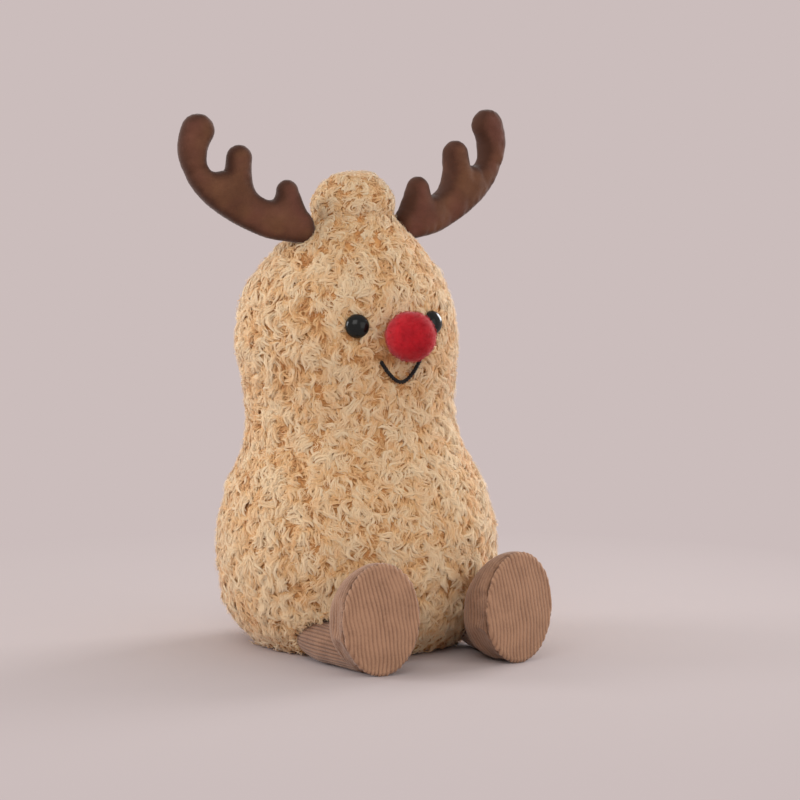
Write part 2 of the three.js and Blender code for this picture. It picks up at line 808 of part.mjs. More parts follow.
function skinPieces() {
  const shell = peanutSolid(0)
    .subtract(peanutSolid(-skinWall))
    .subtract(seatRoom(2 * skinWall))
    .subtract(hipRecesses())
    .subtract(antlerPocket(1))
    .subtract(antlerPocket(-1));
  const half = seamGap / 2;
  const pieces = [];
  for (const [side, sideName] of [[1, "left"], [-1, "right"]]) {
    const body = shell.intersect(band(-skinWall, waistSeam - half, side));
    const head = shell.intersect(band(waistSeam + half, crownSeam - half, side)).subtract(stemHole(side));
    pieces.push(piece(`body_skin_${sideName}`, body, furFinish()));
    pieces.push(piece(`head_skin_${sideName}`, head, furFinish()));
  }
  pieces.push(piece("crown_cap", shell.intersect(band(crownSeam + half, overTop)), furFinish()));
  return pieces;
}

// The flat panel under the seat
function seatPanel() {
  const radius = seatRadius - seatSeamWidth;
  const panel = drill(new THREE.Vector3(), new THREE.Vector3(0, 0, 1), radius, seatPanelWall, bodySides);
  return piece("seat_panel", panel.subtract(hipRecesses()), backingFinish());
}

// Stuffing of the body and of the head, each cut round what it holds
function fillPieces() {
  const mass = peanutSolid(-skinWall - seamGap, 2)
    .subtract(seatRoom(seatPanelWall + seamGap))
    .subtract(hipBarrel(1))
    .subtract(hipBarrel(-1))
    .subtract(antlerPocket(1))
    .subtract(antlerPocket(-1));
  const half = seamGap / 2;
  const body = mass.intersect(band(-skinWall, waistSeam - half)).subtract(pouchForm(seamGap));
  const head = mass
    .intersect(band(waistSeam + half, overTop))
    .subtract(washerRoom(1))
    .subtract(washerRoom(-1));
  return [piece("body_fill", body, stuffingFinish()), piece("head_fill", head, stuffingFinish())];
}

// The whole toy
const torso = new THREE.Group();
torso.add(...skinPieces(), seatPanel(), ...fillPieces(), ...pouchPieces());
torso.add(...eyePieces(1, "left"), ...eyePieces(-1, "right"), ...nosePieces(), mouthStitch());

const toy = new THREE.Group();
toy.add(torso, legGroup(1, "left"), legGroup(-1, "right"), antlerGroup(1, "left"), antlerGroup(-1, "right"));

export default toy;
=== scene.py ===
"""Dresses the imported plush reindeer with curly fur, corduroy, suede and felt, and sets up its studio."""
import json
import math
from functools import partial, reduce

import bmesh
import bpy
import numpy as np
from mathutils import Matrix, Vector, noise
from mathutils.bvhtree import BVHTree
from mathutils.kdtree import KDTree


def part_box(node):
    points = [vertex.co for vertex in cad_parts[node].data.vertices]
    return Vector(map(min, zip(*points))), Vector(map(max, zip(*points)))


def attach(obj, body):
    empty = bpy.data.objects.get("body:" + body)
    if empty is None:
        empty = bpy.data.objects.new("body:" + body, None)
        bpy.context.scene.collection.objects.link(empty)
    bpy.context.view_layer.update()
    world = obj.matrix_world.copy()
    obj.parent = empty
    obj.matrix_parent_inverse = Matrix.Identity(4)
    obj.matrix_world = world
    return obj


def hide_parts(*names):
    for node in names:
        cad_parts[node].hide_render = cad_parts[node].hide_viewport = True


bl_info = {
    "name": "Plush reindeer dresser",
    "version": (1, 0, 0),
    "blender": (4, 5, 0),
    "location": "View3D > Sidebar > Plush",
    "description": "Covers the packed reindeer with fur, corduroy, suede and felt, and sets up its studio",
    "category": "Object",
}

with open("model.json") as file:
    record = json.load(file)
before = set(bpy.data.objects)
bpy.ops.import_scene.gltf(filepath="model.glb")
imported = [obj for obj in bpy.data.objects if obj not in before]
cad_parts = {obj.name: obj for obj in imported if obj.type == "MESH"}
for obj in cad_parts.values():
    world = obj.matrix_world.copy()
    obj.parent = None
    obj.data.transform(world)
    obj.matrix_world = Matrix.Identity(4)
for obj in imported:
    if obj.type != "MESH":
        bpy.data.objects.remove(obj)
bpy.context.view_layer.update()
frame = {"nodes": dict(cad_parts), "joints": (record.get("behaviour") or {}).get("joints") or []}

MM = 0.001
SIDES = (("left", 1), ("right", -1))
FUR_NODES = ("body_skin_left", "body_skin_right", "head_skin_left", "head_skin_right", "crown_cap")
TORSO_INSIDES = ("body_fill", "head_fill", "bean_pouch_lower", "bean_pouch_upper", "bean_pellets")

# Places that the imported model's joints give, in millimetres
JOINTS = {joint["name"]: joint for joint in frame["joints"]}
HIP = np.array(JOINTS["hip_left"]["pos_m"]) / MM
ANTLER_ROOT = np.array(JOINTS["antler_bend_left"]["pos_m"]) / MM
LEG_DROP, LEG_LIFT = (math.radians(limit) for limit in JOINTS["hip_left"]["range_deg"])


def linear(hex_colour):
    """An sRGB hex colour as linear red, green, blue and alpha."""
    parts = [int(hex_colour[i:i + 2], 16) / 255 for i in (1, 3, 5)]
    return tuple(c / 12.92 if c <= 0.04045 else ((c + 0.055) / 1.055) ** 2.4 for c in parts) + (1.0,)


def length_prop(name, description, millimetres):
    """A length that the user may change, given in millimetres."""
    return bpy.props.FloatProperty(name=name, description=description, default=millimetres * MM,
                                   unit="LENGTH", precision=5)


def colour_prop(name, description, hex_colour):
    """A colour that the user may change."""
    return bpy.props.FloatVectorProperty(name=name, description=description, default=linear(hex_colour),
                                         size=4, subtype="COLOR", min=0, max=1)


# Settings that a user would change


class PLUSH_PG_fur(bpy.types.PropertyGroup):
    lock_length: length_prop("Lock length", "How far a curled lock reaches along the fabric", 5.8)
    lock_width: length_prop("Lock width", "Half the width of a curled lock at its fullest", 1.25)
    lock_lift: length_prop("Lift", "How high a curled lock stands over the backing", 1.2)
    lock_sway: length_prop("Sway", "How far a lock waves to its sides", 1.35)
    tuft: length_prop("Tuft size", "Distance between the tufts in which the locks gather", 3.0)
    spacing: length_prop("Spacing", "Least distance between the feet of two locks", 1.21)
    fuzz_length: length_prop("Fuzz length", "How far a loose wisp of fibres reaches", 4.6)
    fuzz_width: length_prop("Fuzz width", "Half the width of a wisp", 0.26)
    fuzz_lift: length_prop("Fuzz lift", "How high a wisp stands over the backing", 2.1)
    fuzz_spacing: length_prop("Fuzz spacing", "Least distance between the feet of two wisps", 0.63)
    sink: length_prop("Backing depth", "How far the backing lies inside the packed skin", 0.8)
    tip: colour_prop("Tips", "Light ends of the locks", "#ffe8c4")
    middle: colour_prop("Middle", "The pile's main colour", "#fad098")
    # The roots' colour paints shade at the foot of each lock
    root: colour_prop("Roots", "Dark foot of the pile", "#d5985f")
    backing: colour_prop("Backing", "Knitted cloth under the pile", "#dfa76c")


class PLUSH_PG_cord(bpy.types.PropertyGroup):
    pitch: length_prop("Wale pitch", "Distance from one corduroy rib to the next", 1.7)
    height: length_prop("Wale height", "How high a rib stands over its groove", 0.42)
    stitch_spacing: length_prop("Stitch spacing", "Distance between the stitches round a sole", 3.8)
    ridge: colour_prop("Ribs", "Brushed tops of the ribs", "#b48a6e")
    groove: colour_prop("Grooves", "Bare ground between the ribs", "#71503d")
    stitch: colour_prop("Stitches", "Thread round the soles", "#4f3729")


class PLUSH_PG_antler(bpy.types.PropertyGroup):
    reach: length_prop("Reach", "How far the beam goes outwards", 48)
    rise: length_prop("Rise", "How far the beam goes up", 41.6)
    thickness: length_prop("Thickness", "Half the depth of the stuffed beam", 6.0)
    nap: colour_prop("Nap", "Suede cloth in the light", "#71463a")
    nap_warm: colour_prop("Yellower nap", "Suede cloth where its dye is yellower", "#775039")
    shade: colour_prop("Shade", "Suede cloth where the nap lies the other way", "#4b2e22")


class PLUSH_PG_face(bpy.types.PropertyGroup):
    thread: length_prop("Mouth thread", "Thickness of one of the mouth's two strands", 0.95)
    nose: colour_prop("Nose", "Felt of the nose", "#c41d29")
    nose_shade: colour_prop("Nose shade", "Felt where its fibres lie flat", "#94121f")
    eye: colour_prop("Eyes", "Moulded eyes", "#0c0f0e")


class PLUSH_PG_stage(bpy.types.PropertyGroup):
    backdrop: colour_prop("Backdrop", "Colour behind the toy", "#cbbdbc")
    floor: colour_prop("Floor", "Colour of the floor under the toy", "#bbafae")


SETTINGS = {
    "plush_fur": PLUSH_PG_fur,
    "plush_cord": PLUSH_PG_cord,
    "plush_antler": PLUSH_PG_antler,
    "plush_face": PLUSH_PG_face,
    "plush_stage": PLUSH_PG_stage,
}


# Nodes


def add(tree, kind, *values, inputs=None, out=None, **settings):
    """Adds a node by its short kind, such as TexNoise or Math:ADD, with its settings, values and links.
    Bare values fill its sockets in order. Gives its first output, or the ones that out names."""
    kind, _, operation = kind.partition(":")
    families = ("ShaderNode", "GeometryNode", "FunctionNode", "Node")
    node = tree.nodes.new(next(family + kind for family in families if hasattr(bpy.types, family + kind)))
    if operation:
        node.operation = operation
    for name, value in settings.items():
        setattr(node, name, value)
    free = [socket for socket in node.inputs if socket.enabled]
    filled = list(zip(free, values))
    for name, value in (inputs or {}).items():
        filled.append((next(socket for socket in free if socket.name == name), value))
    for socket, value in filled:
        if isinstance(value, bpy.types.NodeSocket):
            tree.links.new(value, socket)
        else:
            socket.default_value = value
    given = [socket for socket in node.outputs if socket.enabled]
    if out is None:
        return given[0] if given else None
    named = [next(socket for socket in given if socket.name == name) for name in out.split(", ")]
    return named if len(named) > 1 else named[0]


def new_tree(name, *labels):
    """An empty geometry node tree with a Geometry input and output and a named input for each size."""
    tree = bpy.data.node_groups.new(name, "GeometryNodeTree")
    kinds = {"Geometry": "NodeSocketGeometry", "Seed": "NodeSocketInt", "Count": "NodeSocketInt",
             "Material": "NodeSocketMaterial"}
    for label in ("Geometry", *labels):
        tree.interface.new_socket(name=label, in_out="INPUT",
                                  socket_type=kinds.get(label, "NodeSocketFloat"))
    tree.interface.new_socket(name="Geometry", in_out="OUTPUT", socket_type="NodeSocketGeometry")
    given = tree.nodes.new("NodeGroupInput").outputs
    return tree, {socket.name: socket for socket in given if socket.name}


def end_tree(tree, geometry, material):
    """Ends a tree: its instances made real, smooth and of one material."""
    smooth = add(tree, "SetShadeSmooth", geometry)
    real = add(tree, "RealizeInstances", smooth)
    add(tree, "GroupOutput", add(tree, "SetMaterial", inputs={"Geometry": real, "Material": material}))
    return tree


def lock_tree(name, curled):
    """Locks of pile that stand on a surface, lean along its combing and gather in tufts: thick
    curled ones, or flat wisps."""
    tree, given = new_tree(name, "Length", "Width", "Lift", "Sway", "Tuft", "Spacing", "Seed", "Material")
    node = partial(add, tree)
    times, times_plus = partial(node, "Math:MULTIPLY"), partial(node, "Math:MULTIPLY_ADD")
    power, sine = partial(node, "Math:POWER"), partial(node, "Math:SINE")
    scaled, joined = partial(node, "VectorMath:SCALE"), partial(node, "VectorMath:ADD")

    points, normal = node("DistributePointsOnFaces", inputs={
        "Mesh": given["Geometry"], "Distance Min": given["Spacing"], "Density Max": 1e7,
        "Density Factor": node("InputNamedAttribute", "cover"), "Seed": given["Seed"]},
        distribute_method="POISSON", out="Points, Normal")
    place = node("InputPosition")
    per_metre = node("Math:DIVIDE", 1.0, given["Tuft"])
    tuft, mix, edge = node("TexVoronoi", inputs={"Vector": place, "Scale": per_metre},
                           out="Position, Color, Distance")
    # Each lock has its own tone and length, and is longer on a crest of the pile than in a hollow
    tone = node("RandomValue", inputs={"Seed": 3}, data_type="FLOAT")
    grade = node("RandomValue", inputs={"Min": 0.72, "Max": 1.22, "Seed": 5}, data_type="FLOAT")
    hollows = node("TexNoise", inputs={"Vector": place, "Scale": times(per_metre, 0.62), "Detail": 1.5})
    crest = node("MapRange", hollows, 0.36, 0.64)
    grade = times(grade, times_plus(crest, 0.4, 0.78))
    size = times(grade, node("InputNamedAttribute", "pile"))
    # The crest goes on to the fur's material, which paints shade into the hollows
    for label, value in (("foot", place), ("upright", normal), ("tuft_place", tuft), ("tuft_mix", mix),
                         ("tuft_edge", edge), ("lock_tone", tone), ("crest", crest), ("lock_size", size)):
        points = node("StoreNamedAttribute", inputs={"Geometry": points, "Name": label, "Value": value},
                      data_type="FLOAT" if value.type == "VALUE" else "FLOAT_VECTOR")
    line = node("ResampleCurve", inputs={"Curve": node("CurvePrimitiveLine"), "Count": 7 if curled else 5})
    locks = node("RealizeInstances", node("InstanceOnPoints", inputs={"Points": points, "Instance": line}))

    along = node("SplineParameter")
    size, tone, edge, crest = (node("InputNamedAttribute", label)
                               for label in ("lock_size", "lock_tone", "tuft_edge", "crest"))
    foot, upright, combing, tuft, mix = (
        node("InputNamedAttribute", label, data_type="FLOAT_VECTOR")
        for label in ("foot", "upright", "combing", "tuft_place", "tuft_mix"))
    turn_mix, phase_mix = node("SeparateXYZ", mix, out="X, Y")

    # Each tuft turns its locks a little off the combing
    turn = times_plus(turn_mix, 1.3, -0.65)
    beside = node("VectorMath:CROSS_PRODUCT", upright, combing)
    combing = joined(scaled(combing, node("Math:COSINE", turn)), scaled(beside, sine(turn)))
    beside = node("VectorMath:CROSS_PRODUCT", upright, combing)
    reach = times(times(given["Length"], size), power(along, 1.2))

    # A lock arches over the fabric, fuller in the middle of its tuft and on a crest
    arch = sine(times(along, 2.9 if curled else 2.3))
    fullness = times_plus(edge, -0.5, times_plus(crest, 0.4, 0.9))
    height = times(times(given["Lift"], size), times(arch, fullness))

    # It waves to its sides, in step with its tuft, and its tip gathers towards the tuft's middle
    phase = times_plus(phase_mix, 2 * math.pi, times(tone, 0.9))
    swing = sine(times_plus(along, 5.4, phase))
    wave = times(node("Math:SUBTRACT", swing, sine(phase)), given["Sway"])
    gather = node("VectorMath:SUBTRACT", tuft, foot)
    out = times(node("VectorMath:DOT_PRODUCT", gather, upright), -1.0)
    gather = joined(gather, scaled(upright, out))
    pull = times(power(along, 1.5), 0.35 if curled else 0.75)
    place = foot
    for way, far in ((combing, reach), (upright, height), (beside, wave), (gather, pull)):
        place = joined(place, scaled(way, far))
    # The floor holds up the lowest locks
    place = node("VectorMath:MAXIMUM", place, (-1.0, -1.0, 0.6 * MM))
    locks = node("SetPosition", inputs={"Geometry": locks, "Position": place})
    locks = node("StoreNamedAttribute", inputs={"Geometry": locks, "Name": "lock_t", "Value": along})

    # It is fullest in its first two thirds and ends in a slim tip
    taper = node("FloatCurve", inputs={"Value": along})
    curve = taper.node.mapping.curves[0]
    curve.points[0].location, curve.points[1].location = (0, 0.5), (1, 0.3)
    curve.points.new(0.3, 1)
    curve.points.new(0.7, 0.95)
    taper.node.mapping.update()
    girth = times(times(taper, given["Width"]), times_plus(size, 0.2, 0.28))
    # A lock's round back, or a wisp's broad side, faces out of the fabric
    laid = node("SetCurveNormal", inputs={"Curve": locks, "Normal": beside}, mode="FREE")
    if curled:
        profile = node("CurveArc", inputs={"Resolution": 4, "Radius": 1.0, "Sweep Angle": math.pi})
        profile = node("Transform", inputs={"Geometry": profile, "Scale": (1.0, 0.85, 1.0)})
    else:
        profile = node("CurvePrimitiveLine", inputs={"Start": (-1.0, 0.0, 0.0), "End": (1.0, 0.0, 0.0)})
    mesh = node("CurveToMesh", inputs={"Curve": laid, "Profile Curve": profile, "Scale": girth})
    return end_tree(tree, mesh, given["Material"])


def stitch_tree():
    """Short threads laid across a seam, one after another along a line."""
    tree, given = new_tree("Seam stitches", "Length", "Width", "Count", "Material")
    node = partial(add, tree)
    spots, facing = node("CurveToPoints", inputs={
        "Curve": node("MeshToCurve", given["Geometry"]), "Count": given["Count"]}, out="Points, Rotation")
    thread = node("MeshIcoSphere", inputs={"Radius": 0.5, "Subdivisions": 2})
    size = node("CombineXYZ", given["Width"], given["Length"], given["Width"])
    slant = node("RotateRotation", facing, (0.0, 0.0, 0.5), rotation_space="LOCAL")
    laid = node("InstanceOnPoints", inputs={
        "Points": spots, "Instance": thread, "Rotation": slant, "Scale": size})
    return end_tree(tree, laid, given["Material"])


def ply_tree():
    """Two strands of thread twisted round a line."""
    tree, given = new_tree("Twisted thread", "Width", "Turns", "Material")
    node = partial(add, tree)
    line = node("ResampleCurve", inputs={"Curve": node("MeshToCurve", given["Geometry"]), "Count": 90})
    along = node("SplineParameter")
    normal = node("InputNormal")
    beside = node("VectorMath:CROSS_PRODUCT", node("InputTangent"), normal)
    off = node("Math:MULTIPLY", given["Width"], 0.45)
    joined = node("JoinGeometry")
    for start in (0.0, math.pi):
        turn = node("Math:MULTIPLY_ADD", node("Math:MULTIPLY", along, given["Turns"]), 2 * math.pi, start)
        shift = node("VectorMath:ADD", *(
            node("VectorMath:SCALE", way, node("Math:MULTIPLY", node(f"Math:{wave}", turn), off))
            for way, wave in ((normal, "COSINE"), (beside, "SINE"))))
        strand = node("SetPosition", inputs={"Geometry": line, "Offset": shift})
        profile = node("CurvePrimitiveCircle", inputs={"Resolution": 8, "Radius": 0.5})
        strand = node("CurveToMesh", inputs={
            "Curve": strand, "Profile Curve": profile, "Scale": given["Width"], "Fill Caps": True})
        tree.links.new(strand, joined.node.inputs[0])
    return end_tree(tree, joined, given["Material"])


def placed(name, data):
    """A new object at the origin."""
    piece = bpy.data.objects.new(name, data)
    bpy.context.scene.collection.objects.link(piece)
    return piece


def result_of(piece):
    """What an object's modifiers make of its mesh, as a plain mesh."""
    depsgraph = bpy.context.evaluated_depsgraph_get()
    return bpy.data.meshes.new_from_object(piece.evaluated_get(depsgraph))


def grown(name, mesh, tree, values):
    """What a node tree makes of a mesh, as a plain mesh object."""
    piece = placed(name, mesh)
    modifier = piece.modifiers.new(name, "NODES")
    modifier.node_group = tree
    for item in tree.interface.items_tree:
        if item.in_out == "INPUT" and item.name in values:
            modifier[item.identifier] = values[item.name]
    plain = result_of(piece)
    piece.modifiers.clear()
    piece.data = plain
    plain.name = name
    for spare in ("foot", "combing", "lock_size", "cover", "pile", "tuft_place", "tuft_edge"):
        if spare in plain.attributes:
            plain.attributes.remove(plain.attributes[spare])
    return piece


# Materials


def new_material(name, **shader):
    """A material, the function that adds to its nodes, and its shader with plain values set."""
    material = bpy.data.materials.new(name)
    material.use_nodes = True
    bsdf = material.node_tree.nodes["Principled BSDF"]
    for socket, value in shader.items():
        bsdf.inputs[socket.replace("_", " ")].default_value = value
    return material, partial(add, material.node_tree), bsdf


def lead(value, node, socket):
    """Links a value to an input of a node that stands already."""
    node.id_data.links.new(value, node.inputs[socket])


def dye(node, bsdf, share, dark, light):
    """Colours a shader from dark to light with a share from 0 to 1."""
    lead(node("Mix", share, dark, light, data_type="RGBA"), bsdf, "Base Color")


def bump(node, bsdf, height, depth):
    """Gives a shader fine relief from a height field, its depth in millimetres."""
    lead(node("Bump", inputs={"Height": height, "Distance": depth * MM}), bsdf, "Normal")


def speckle(node, scale, detail=2.0, roughness=0.5):
    """Noise in Object coordinates, its scale in features per metre."""
    return node("TexNoise", node("TexCoord", out="Object"), scale, detail, roughness)


def stored(node, name, out="Fac"):
    """What a piece's points hold under a name."""
    return node("Attribute", out=out, attribute_name=name)


def sum_of(node, *values):
    """The sum of two or more numbers."""
    return reduce(partial(node, "Math:ADD"), values)


def faux_fur():
    """Curled polyester faux fur: matt fibre bundles, painted darker at the foot as shade down in the pile,
    with a pale soft sheen.
    """
    look = bpy.context.scene.plush_fur
    material, node, bsdf = new_material("faux_fur_curled", Roughness=0.85, IOR=1.45, Sheen_Weight=0.8,
                                        Sheen_Roughness=0.4, Specular_IOR_Level=0.2)
    # Dye takes unevenly over patches of about 12 mm and over single tufts, and painted shade darkens the
    # hollows of about 3 mm
    mix = node("SeparateXYZ", stored(node, "tuft_mix", "Vector"), out="Z")
    lift = sum_of(node, node("MapRange", speckle(node, 85.0), 0.3, 0.7, -0.2, 0.2),
                  node("MapRange", mix, 0.0, 1.0, -0.17, 0.17),
                  node("MapRange", stored(node, "lock_tone"), 0.0, 1.0, -0.05, 0.05),
                  node("MapRange", stored(node, "crest"), 0.0, 1.0, -0.41, 0.19))
    # Each lock is painted darker towards its foot, as shade down in the pile
    share = sum_of(node, node("MapRange", stored(node, "lock_t"), 0.0, 0.5, 0.22, 0.8), lift)
    pile = node("ValToRGB", share)
    stops = pile.node.color_ramp.elements
    stops[0].position, stops[0].color = 0.05, look.root
    stops[1].position, stops[1].color = 0.95, look.tip
    stops.new(0.45).color = look.middle
    lead(pile, bsdf, "Base Color")
    # Fibres are too fine to shade one by one: the light falls on the pile's surface as a whole
    upright = node("VectorTransform", stored(node, "upright", "Vector"), vector_type="NORMAL",
                   convert_from="OBJECT", convert_to="WORLD")
    own = node("NewGeometry", out="Normal")
    leaning = node("VectorMath:ADD", node("VectorMath:SCALE", upright, 0.85), own)
    lead(node("VectorMath:NORMALIZE", leaning), bsdf, "Normal")
    # Light also comes through the fibres, which keeps the gaps warm and the edges pale
    mixed = node("MixShader", 0.32, bsdf.outputs[0], node("BsdfTranslucent", pile))
    lead(mixed, material.node_tree.nodes["Material Output"], "Surface")
    return material


def knit_backing():
    """Knitted polyester backing, brushed: a dull dark ground that shows in the pits of the pile."""
    look = bpy.context.scene.plush_fur
    material, node, bsdf = new_material("knitted_backing", Roughness=0.95, Specular_IOR_Level=0.2)
    loops = speckle(node, 900.0)
    dye(node, bsdf, node("MapRange", loops, 0.3, 0.7), look.backing, look.root)
    bump(node, bsdf, loops, 0.4)
    return material


def needlecord():
    """Cotton needlecord: brushed ribs over a darker ground, the grooves darker partly for the bare ground's
    own colour and partly as painted shade.
    """
    look = bpy.context.scene.plush_cord
    material, node, bsdf = new_material("needlecord_cotton", Roughness=0.9, Sheen_Weight=0.25,
                                        Sheen_Roughness=0.5, Specular_IOR_Level=0.2)
    # The pile wears unevenly over about 8 mm, and its tufts show at about 0.6 mm
    tufts = speckle(node, 1600.0)
    # The grooves are darker than the ribs' tops, partly the bare ground's colour and partly painted shade
    share = sum_of(node, node("MapRange", stored(node, "wale"), 0.1, 0.95, 0.4, 0.95),
                   node("MapRange", speckle(node, 120.0, 3.0), 0.3, 0.7, -0.2, 0.15),
                   node("MapRange", tufts, 0.3, 0.7, -0.12, 0.12))
    # Painted shade darkens the uppers and legs, and the cloth drawn into the seams and puckers, by the stored
    # nap
    share = node("Math:SUBTRACT", share, stored(node, "nap"))
    dye(node, bsdf, share, look.groove, look.ridge)
    bump(node, bsdf, tufts, 0.25)
    return material


def suede_cloth():
    """Microfibre suede cloth: dense short nap, matt, its tone turning where the nap lies over, with painted
    shade close to the seam.
    """
    look = bpy.context.scene.plush_antler
    material, node, bsdf = new_material("microfibre_suede", Roughness=0.92, Sheen_Weight=0.3,
                                        Sheen_Roughness=0.35, Specular_IOR_Level=0.2)
    fibres = speckle(node, 2600.0)
    share = sum_of(node, node("MapRange", speckle(node, 60.0, 4.0, 0.6), 0.3, 0.72, 0.3, 1.0),
                   node("MapRange", fibres, 0.3, 0.7, -0.12, 0.12),
                   # Painted shade darkens the cloth close to the seam, where the stuffed form turns away
                   node("Math:MULTIPLY", stored(node, "seam_painted_shade"), -0.8))
    # The dye runs from a redder to a yellower brown over about 20 mm
    patches = node("MapRange", speckle(node, 45.0), 0.4, 0.6)
    dye(node, bsdf, share, look.shade, node("Mix", patches, look.nap, look.nap_warm, data_type="RGBA"))
    bump(node, bsdf, fibres, 0.12)
    return material


def wool_felt():
    """Wool felt: matted fibres, matt and a little cloudy."""
    look = bpy.context.scene.plush_face
    material, node, bsdf = new_material("wool_felt_red", Roughness=0.9, Sheen_Weight=0.25,
                                        Sheen_Roughness=0.4, Specular_IOR_Level=0.2)
    fibres = speckle(node, 2200.0, 3.0)
    share = sum_of(node, node("MapRange", speckle(node, 160.0, 3.0), 0.3, 0.7, 0.35, 1.0),
                   node("MapRange", fibres, 0.3, 0.7, -0.2, 0.2))
    dye(node, bsdf, share, look.nose_shade, look.nose)
    bump(node, bsdf, fibres, 0.2)
    return material


def thread_cotton(name, colour):
    """Twisted cotton thread: slightly shiny strands with fine fibre lines."""
    material, node, bsdf = new_material(name, Roughness=0.55, Specular_IOR_Level=0.35)
    fibres = speckle(node, 1800.0)
    paler = [min(1.0, 1.8 * part + 0.004) for part in colour[:3]] + [1.0]
    dye(node, bsdf, node("MapRange", fibres, 0.35, 0.75), colour, paler)
    bump(node, bsdf, fibres, 0.15)
    return material


def eye_plastic():
    """Acrylic bead, polished: black and glossy, with a faint cloudiness of fine scratches."""
    look = bpy.context.scene.plush_face
    material, node, bsdf = new_material("acrylic_black", IOR=1.49, Specular_IOR_Level=0.3)
    wear = speckle(node, 700.0, 3.0)
    lead(node("MapRange", wear, 0.3, 0.7, 0.08, 0.2), bsdf, "Roughness")
    dye(node, bsdf, wear, look.eye, [2 * part for part in look.eye[:3]] + [1.0])
    return material


def nylon():
    """Moulded nylon: milky and half matt, with fine flow clouds."""
    material, node, bsdf = new_material("moulded_nylon", IOR=1.53)
    cloud = speckle(node, 300.0)
    lead(node("MapRange", cloud, 0.3, 0.7, 0.4, 0.55), bsdf, "Roughness")
    dye(node, bsdf, cloud, linear("#d9d7cf"), linear("#ecebe4"))
    return material


def seat_weave():
    """Plain-woven polyester: crossing threads of 0.6 mm, drawn at 1.2 mm so that they show."""
    look = bpy.context.scene.plush_fur
    material, node, bsdf = new_material("woven_polyester", Roughness=0.9, Specular_IOR_Level=0.25)
    threads = {"Vector": node("TexCoord", out="Object"), "Scale": 130.0, "Distortion": 0.4}
    weave = node("Math:MULTIPLY", *(node("TexWave", inputs=threads, out="Fac", bands_direction=way)
                                    for way in ("X", "Y")))
    dye(node, bsdf, weave, look.root, look.middle)
    bump(node, bsdf, weave, 0.3)
    return material


# Meshes


def ring_skin(rings):
    """Points and faces of a closed skin over rows of rings, with a fan at each end."""
    rings = np.asarray(rings, float)
    rows, sides = rings.shape[:2]
    points = rings.reshape(-1, 3)
    faces = []
    for row in range(rows - 1):
        for side in range(sides):
            after = (side + 1) % sides
            low, high = row * sides, (row + 1) * sides
            faces.append((low + side, low + after, high + after, high + side))
    tips = []
    for row in (0, rows - 1):
        tips.append(rings[row].mean(0))
        tip = rows * sides + len(tips) - 1
        for side in range(sides):
            after = (side + 1) % sides
            near, far = row * sides + side, row * sides + after
            faces.append((tip, far, near) if row == 0 else (tip, near, far))
    return np.vstack([points, tips]), faces


def mesh_of(name, points, faces, edges=(), attributes=None):
    """A mesh from points in millimetres, its faces turned outwards, with named numbers on its points."""
    mesh = bpy.data.meshes.new(name)
    mesh.from_pydata((np.asarray(points) * MM).tolist(), list(edges), faces)
    if faces:
        shell = bmesh.new()
        shell.from_mesh(mesh)
        bmesh.ops.recalc_face_normals(shell, faces=shell.faces)
        shell.to_mesh(mesh)
        shell.free()
    for label, values in (attributes or {}).items():
        put(mesh, label, values)
    mesh.shade_smooth()
    return mesh


def put(mesh, name, values):
    """Stores one number or one vector for each point."""
    values = np.asarray(values, np.float32)
    kind = "FLOAT" if values.ndim == 1 else "FLOAT_VECTOR"
    layer = mesh.attributes.get(name) or mesh.attributes.new(name, kind, "POINT")
    layer.data.foreach_set("value" if kind == "FLOAT" else "vector", values.ravel())


def read_all(items, field, width):
    """A field of all items, as rows of numbers."""
    values = np.zeros(len(items) * width, np.float32)
    items.foreach_get(field, values)
    return values.reshape(-1, width)


def take(mesh, name):
    """One stored number for each point."""
    return read_all(mesh.attributes[name].data, "value", 1)[:, 0]


def points_of(mesh):
    """A mesh's points in millimetres."""
    return read_all(mesh.vertices, "co", 3) / MM


def normals_of(mesh):
    """A mesh's normals at its points."""
    return read_all(mesh.vertex_normals, "vector", 3)


def move_points(mesh, points):
    """Gives a mesh new points, in millimetres."""
    mesh.vertices.foreach_set("co", (np.asarray(points) * MM).astype(np.float32).ravel())
    mesh.update()


def object_of(name, mesh, material):
    """An object at the origin, with its place in its mesh."""
    mesh.materials.clear()
    mesh.materials.append(material)
    return placed(name, mesh)


def refined(name, mesh, levels=2):
    """A mesh subdivided smoothly, as a plain mesh that keeps its stored numbers."""
    piece = placed(name, mesh)
    modifier = piece.modifiers.new("Smooth", "SUBSURF")
    modifier.levels = modifier.render_levels = levels
    plain = result_of(piece)
    bpy.data.objects.remove(piece)
    return plain


def links_of(faces):
    """The pairs of points that the sides of faces join."""
    faces = np.array(faces)
    count = faces.shape[1]
    return np.vstack([faces[:, [i, (i + 1) % count]] for i in range(count)])


def eased(points, links, share=0.5, rounds=1):
    """Points moved by a share of the way to the middle of their neighbours, which evens out steps."""
    degree = np.maximum(np.bincount(links.ravel(), minlength=len(points)), 1)[:, None]
    for _ in range(rounds):
        total = np.zeros_like(points)
        np.add.at(total, links[:, 0], points[links[:, 1]])
        np.add.at(total, links[:, 1], points[links[:, 0]])
        points = points + share * (total / degree - points)
    return points


def bearings(sides):
    """Evenly spaced bearings once round."""
    return 2 * math.pi * np.arange(sides) / sides


def unit(vectors):
    """Vectors brought to a length of 1."""
    return vectors / np.maximum(np.linalg.norm(vectors, axis=-1, keepdims=True), 1e-6)


def laid_on(vectors, normals):
    """Unit vectors turned into the surface that the normals stand on."""
    return unit(vectors - normals * np.sum(vectors * normals, 1, keepdims=True))


def turned(points, angle):
    """Points turned about the upright axis."""
    cos, sin = math.cos(angle), math.sin(angle)
    x, y, z = points.T
    return np.stack([x * cos - y * sin, x * sin + y * cos, z], 1)


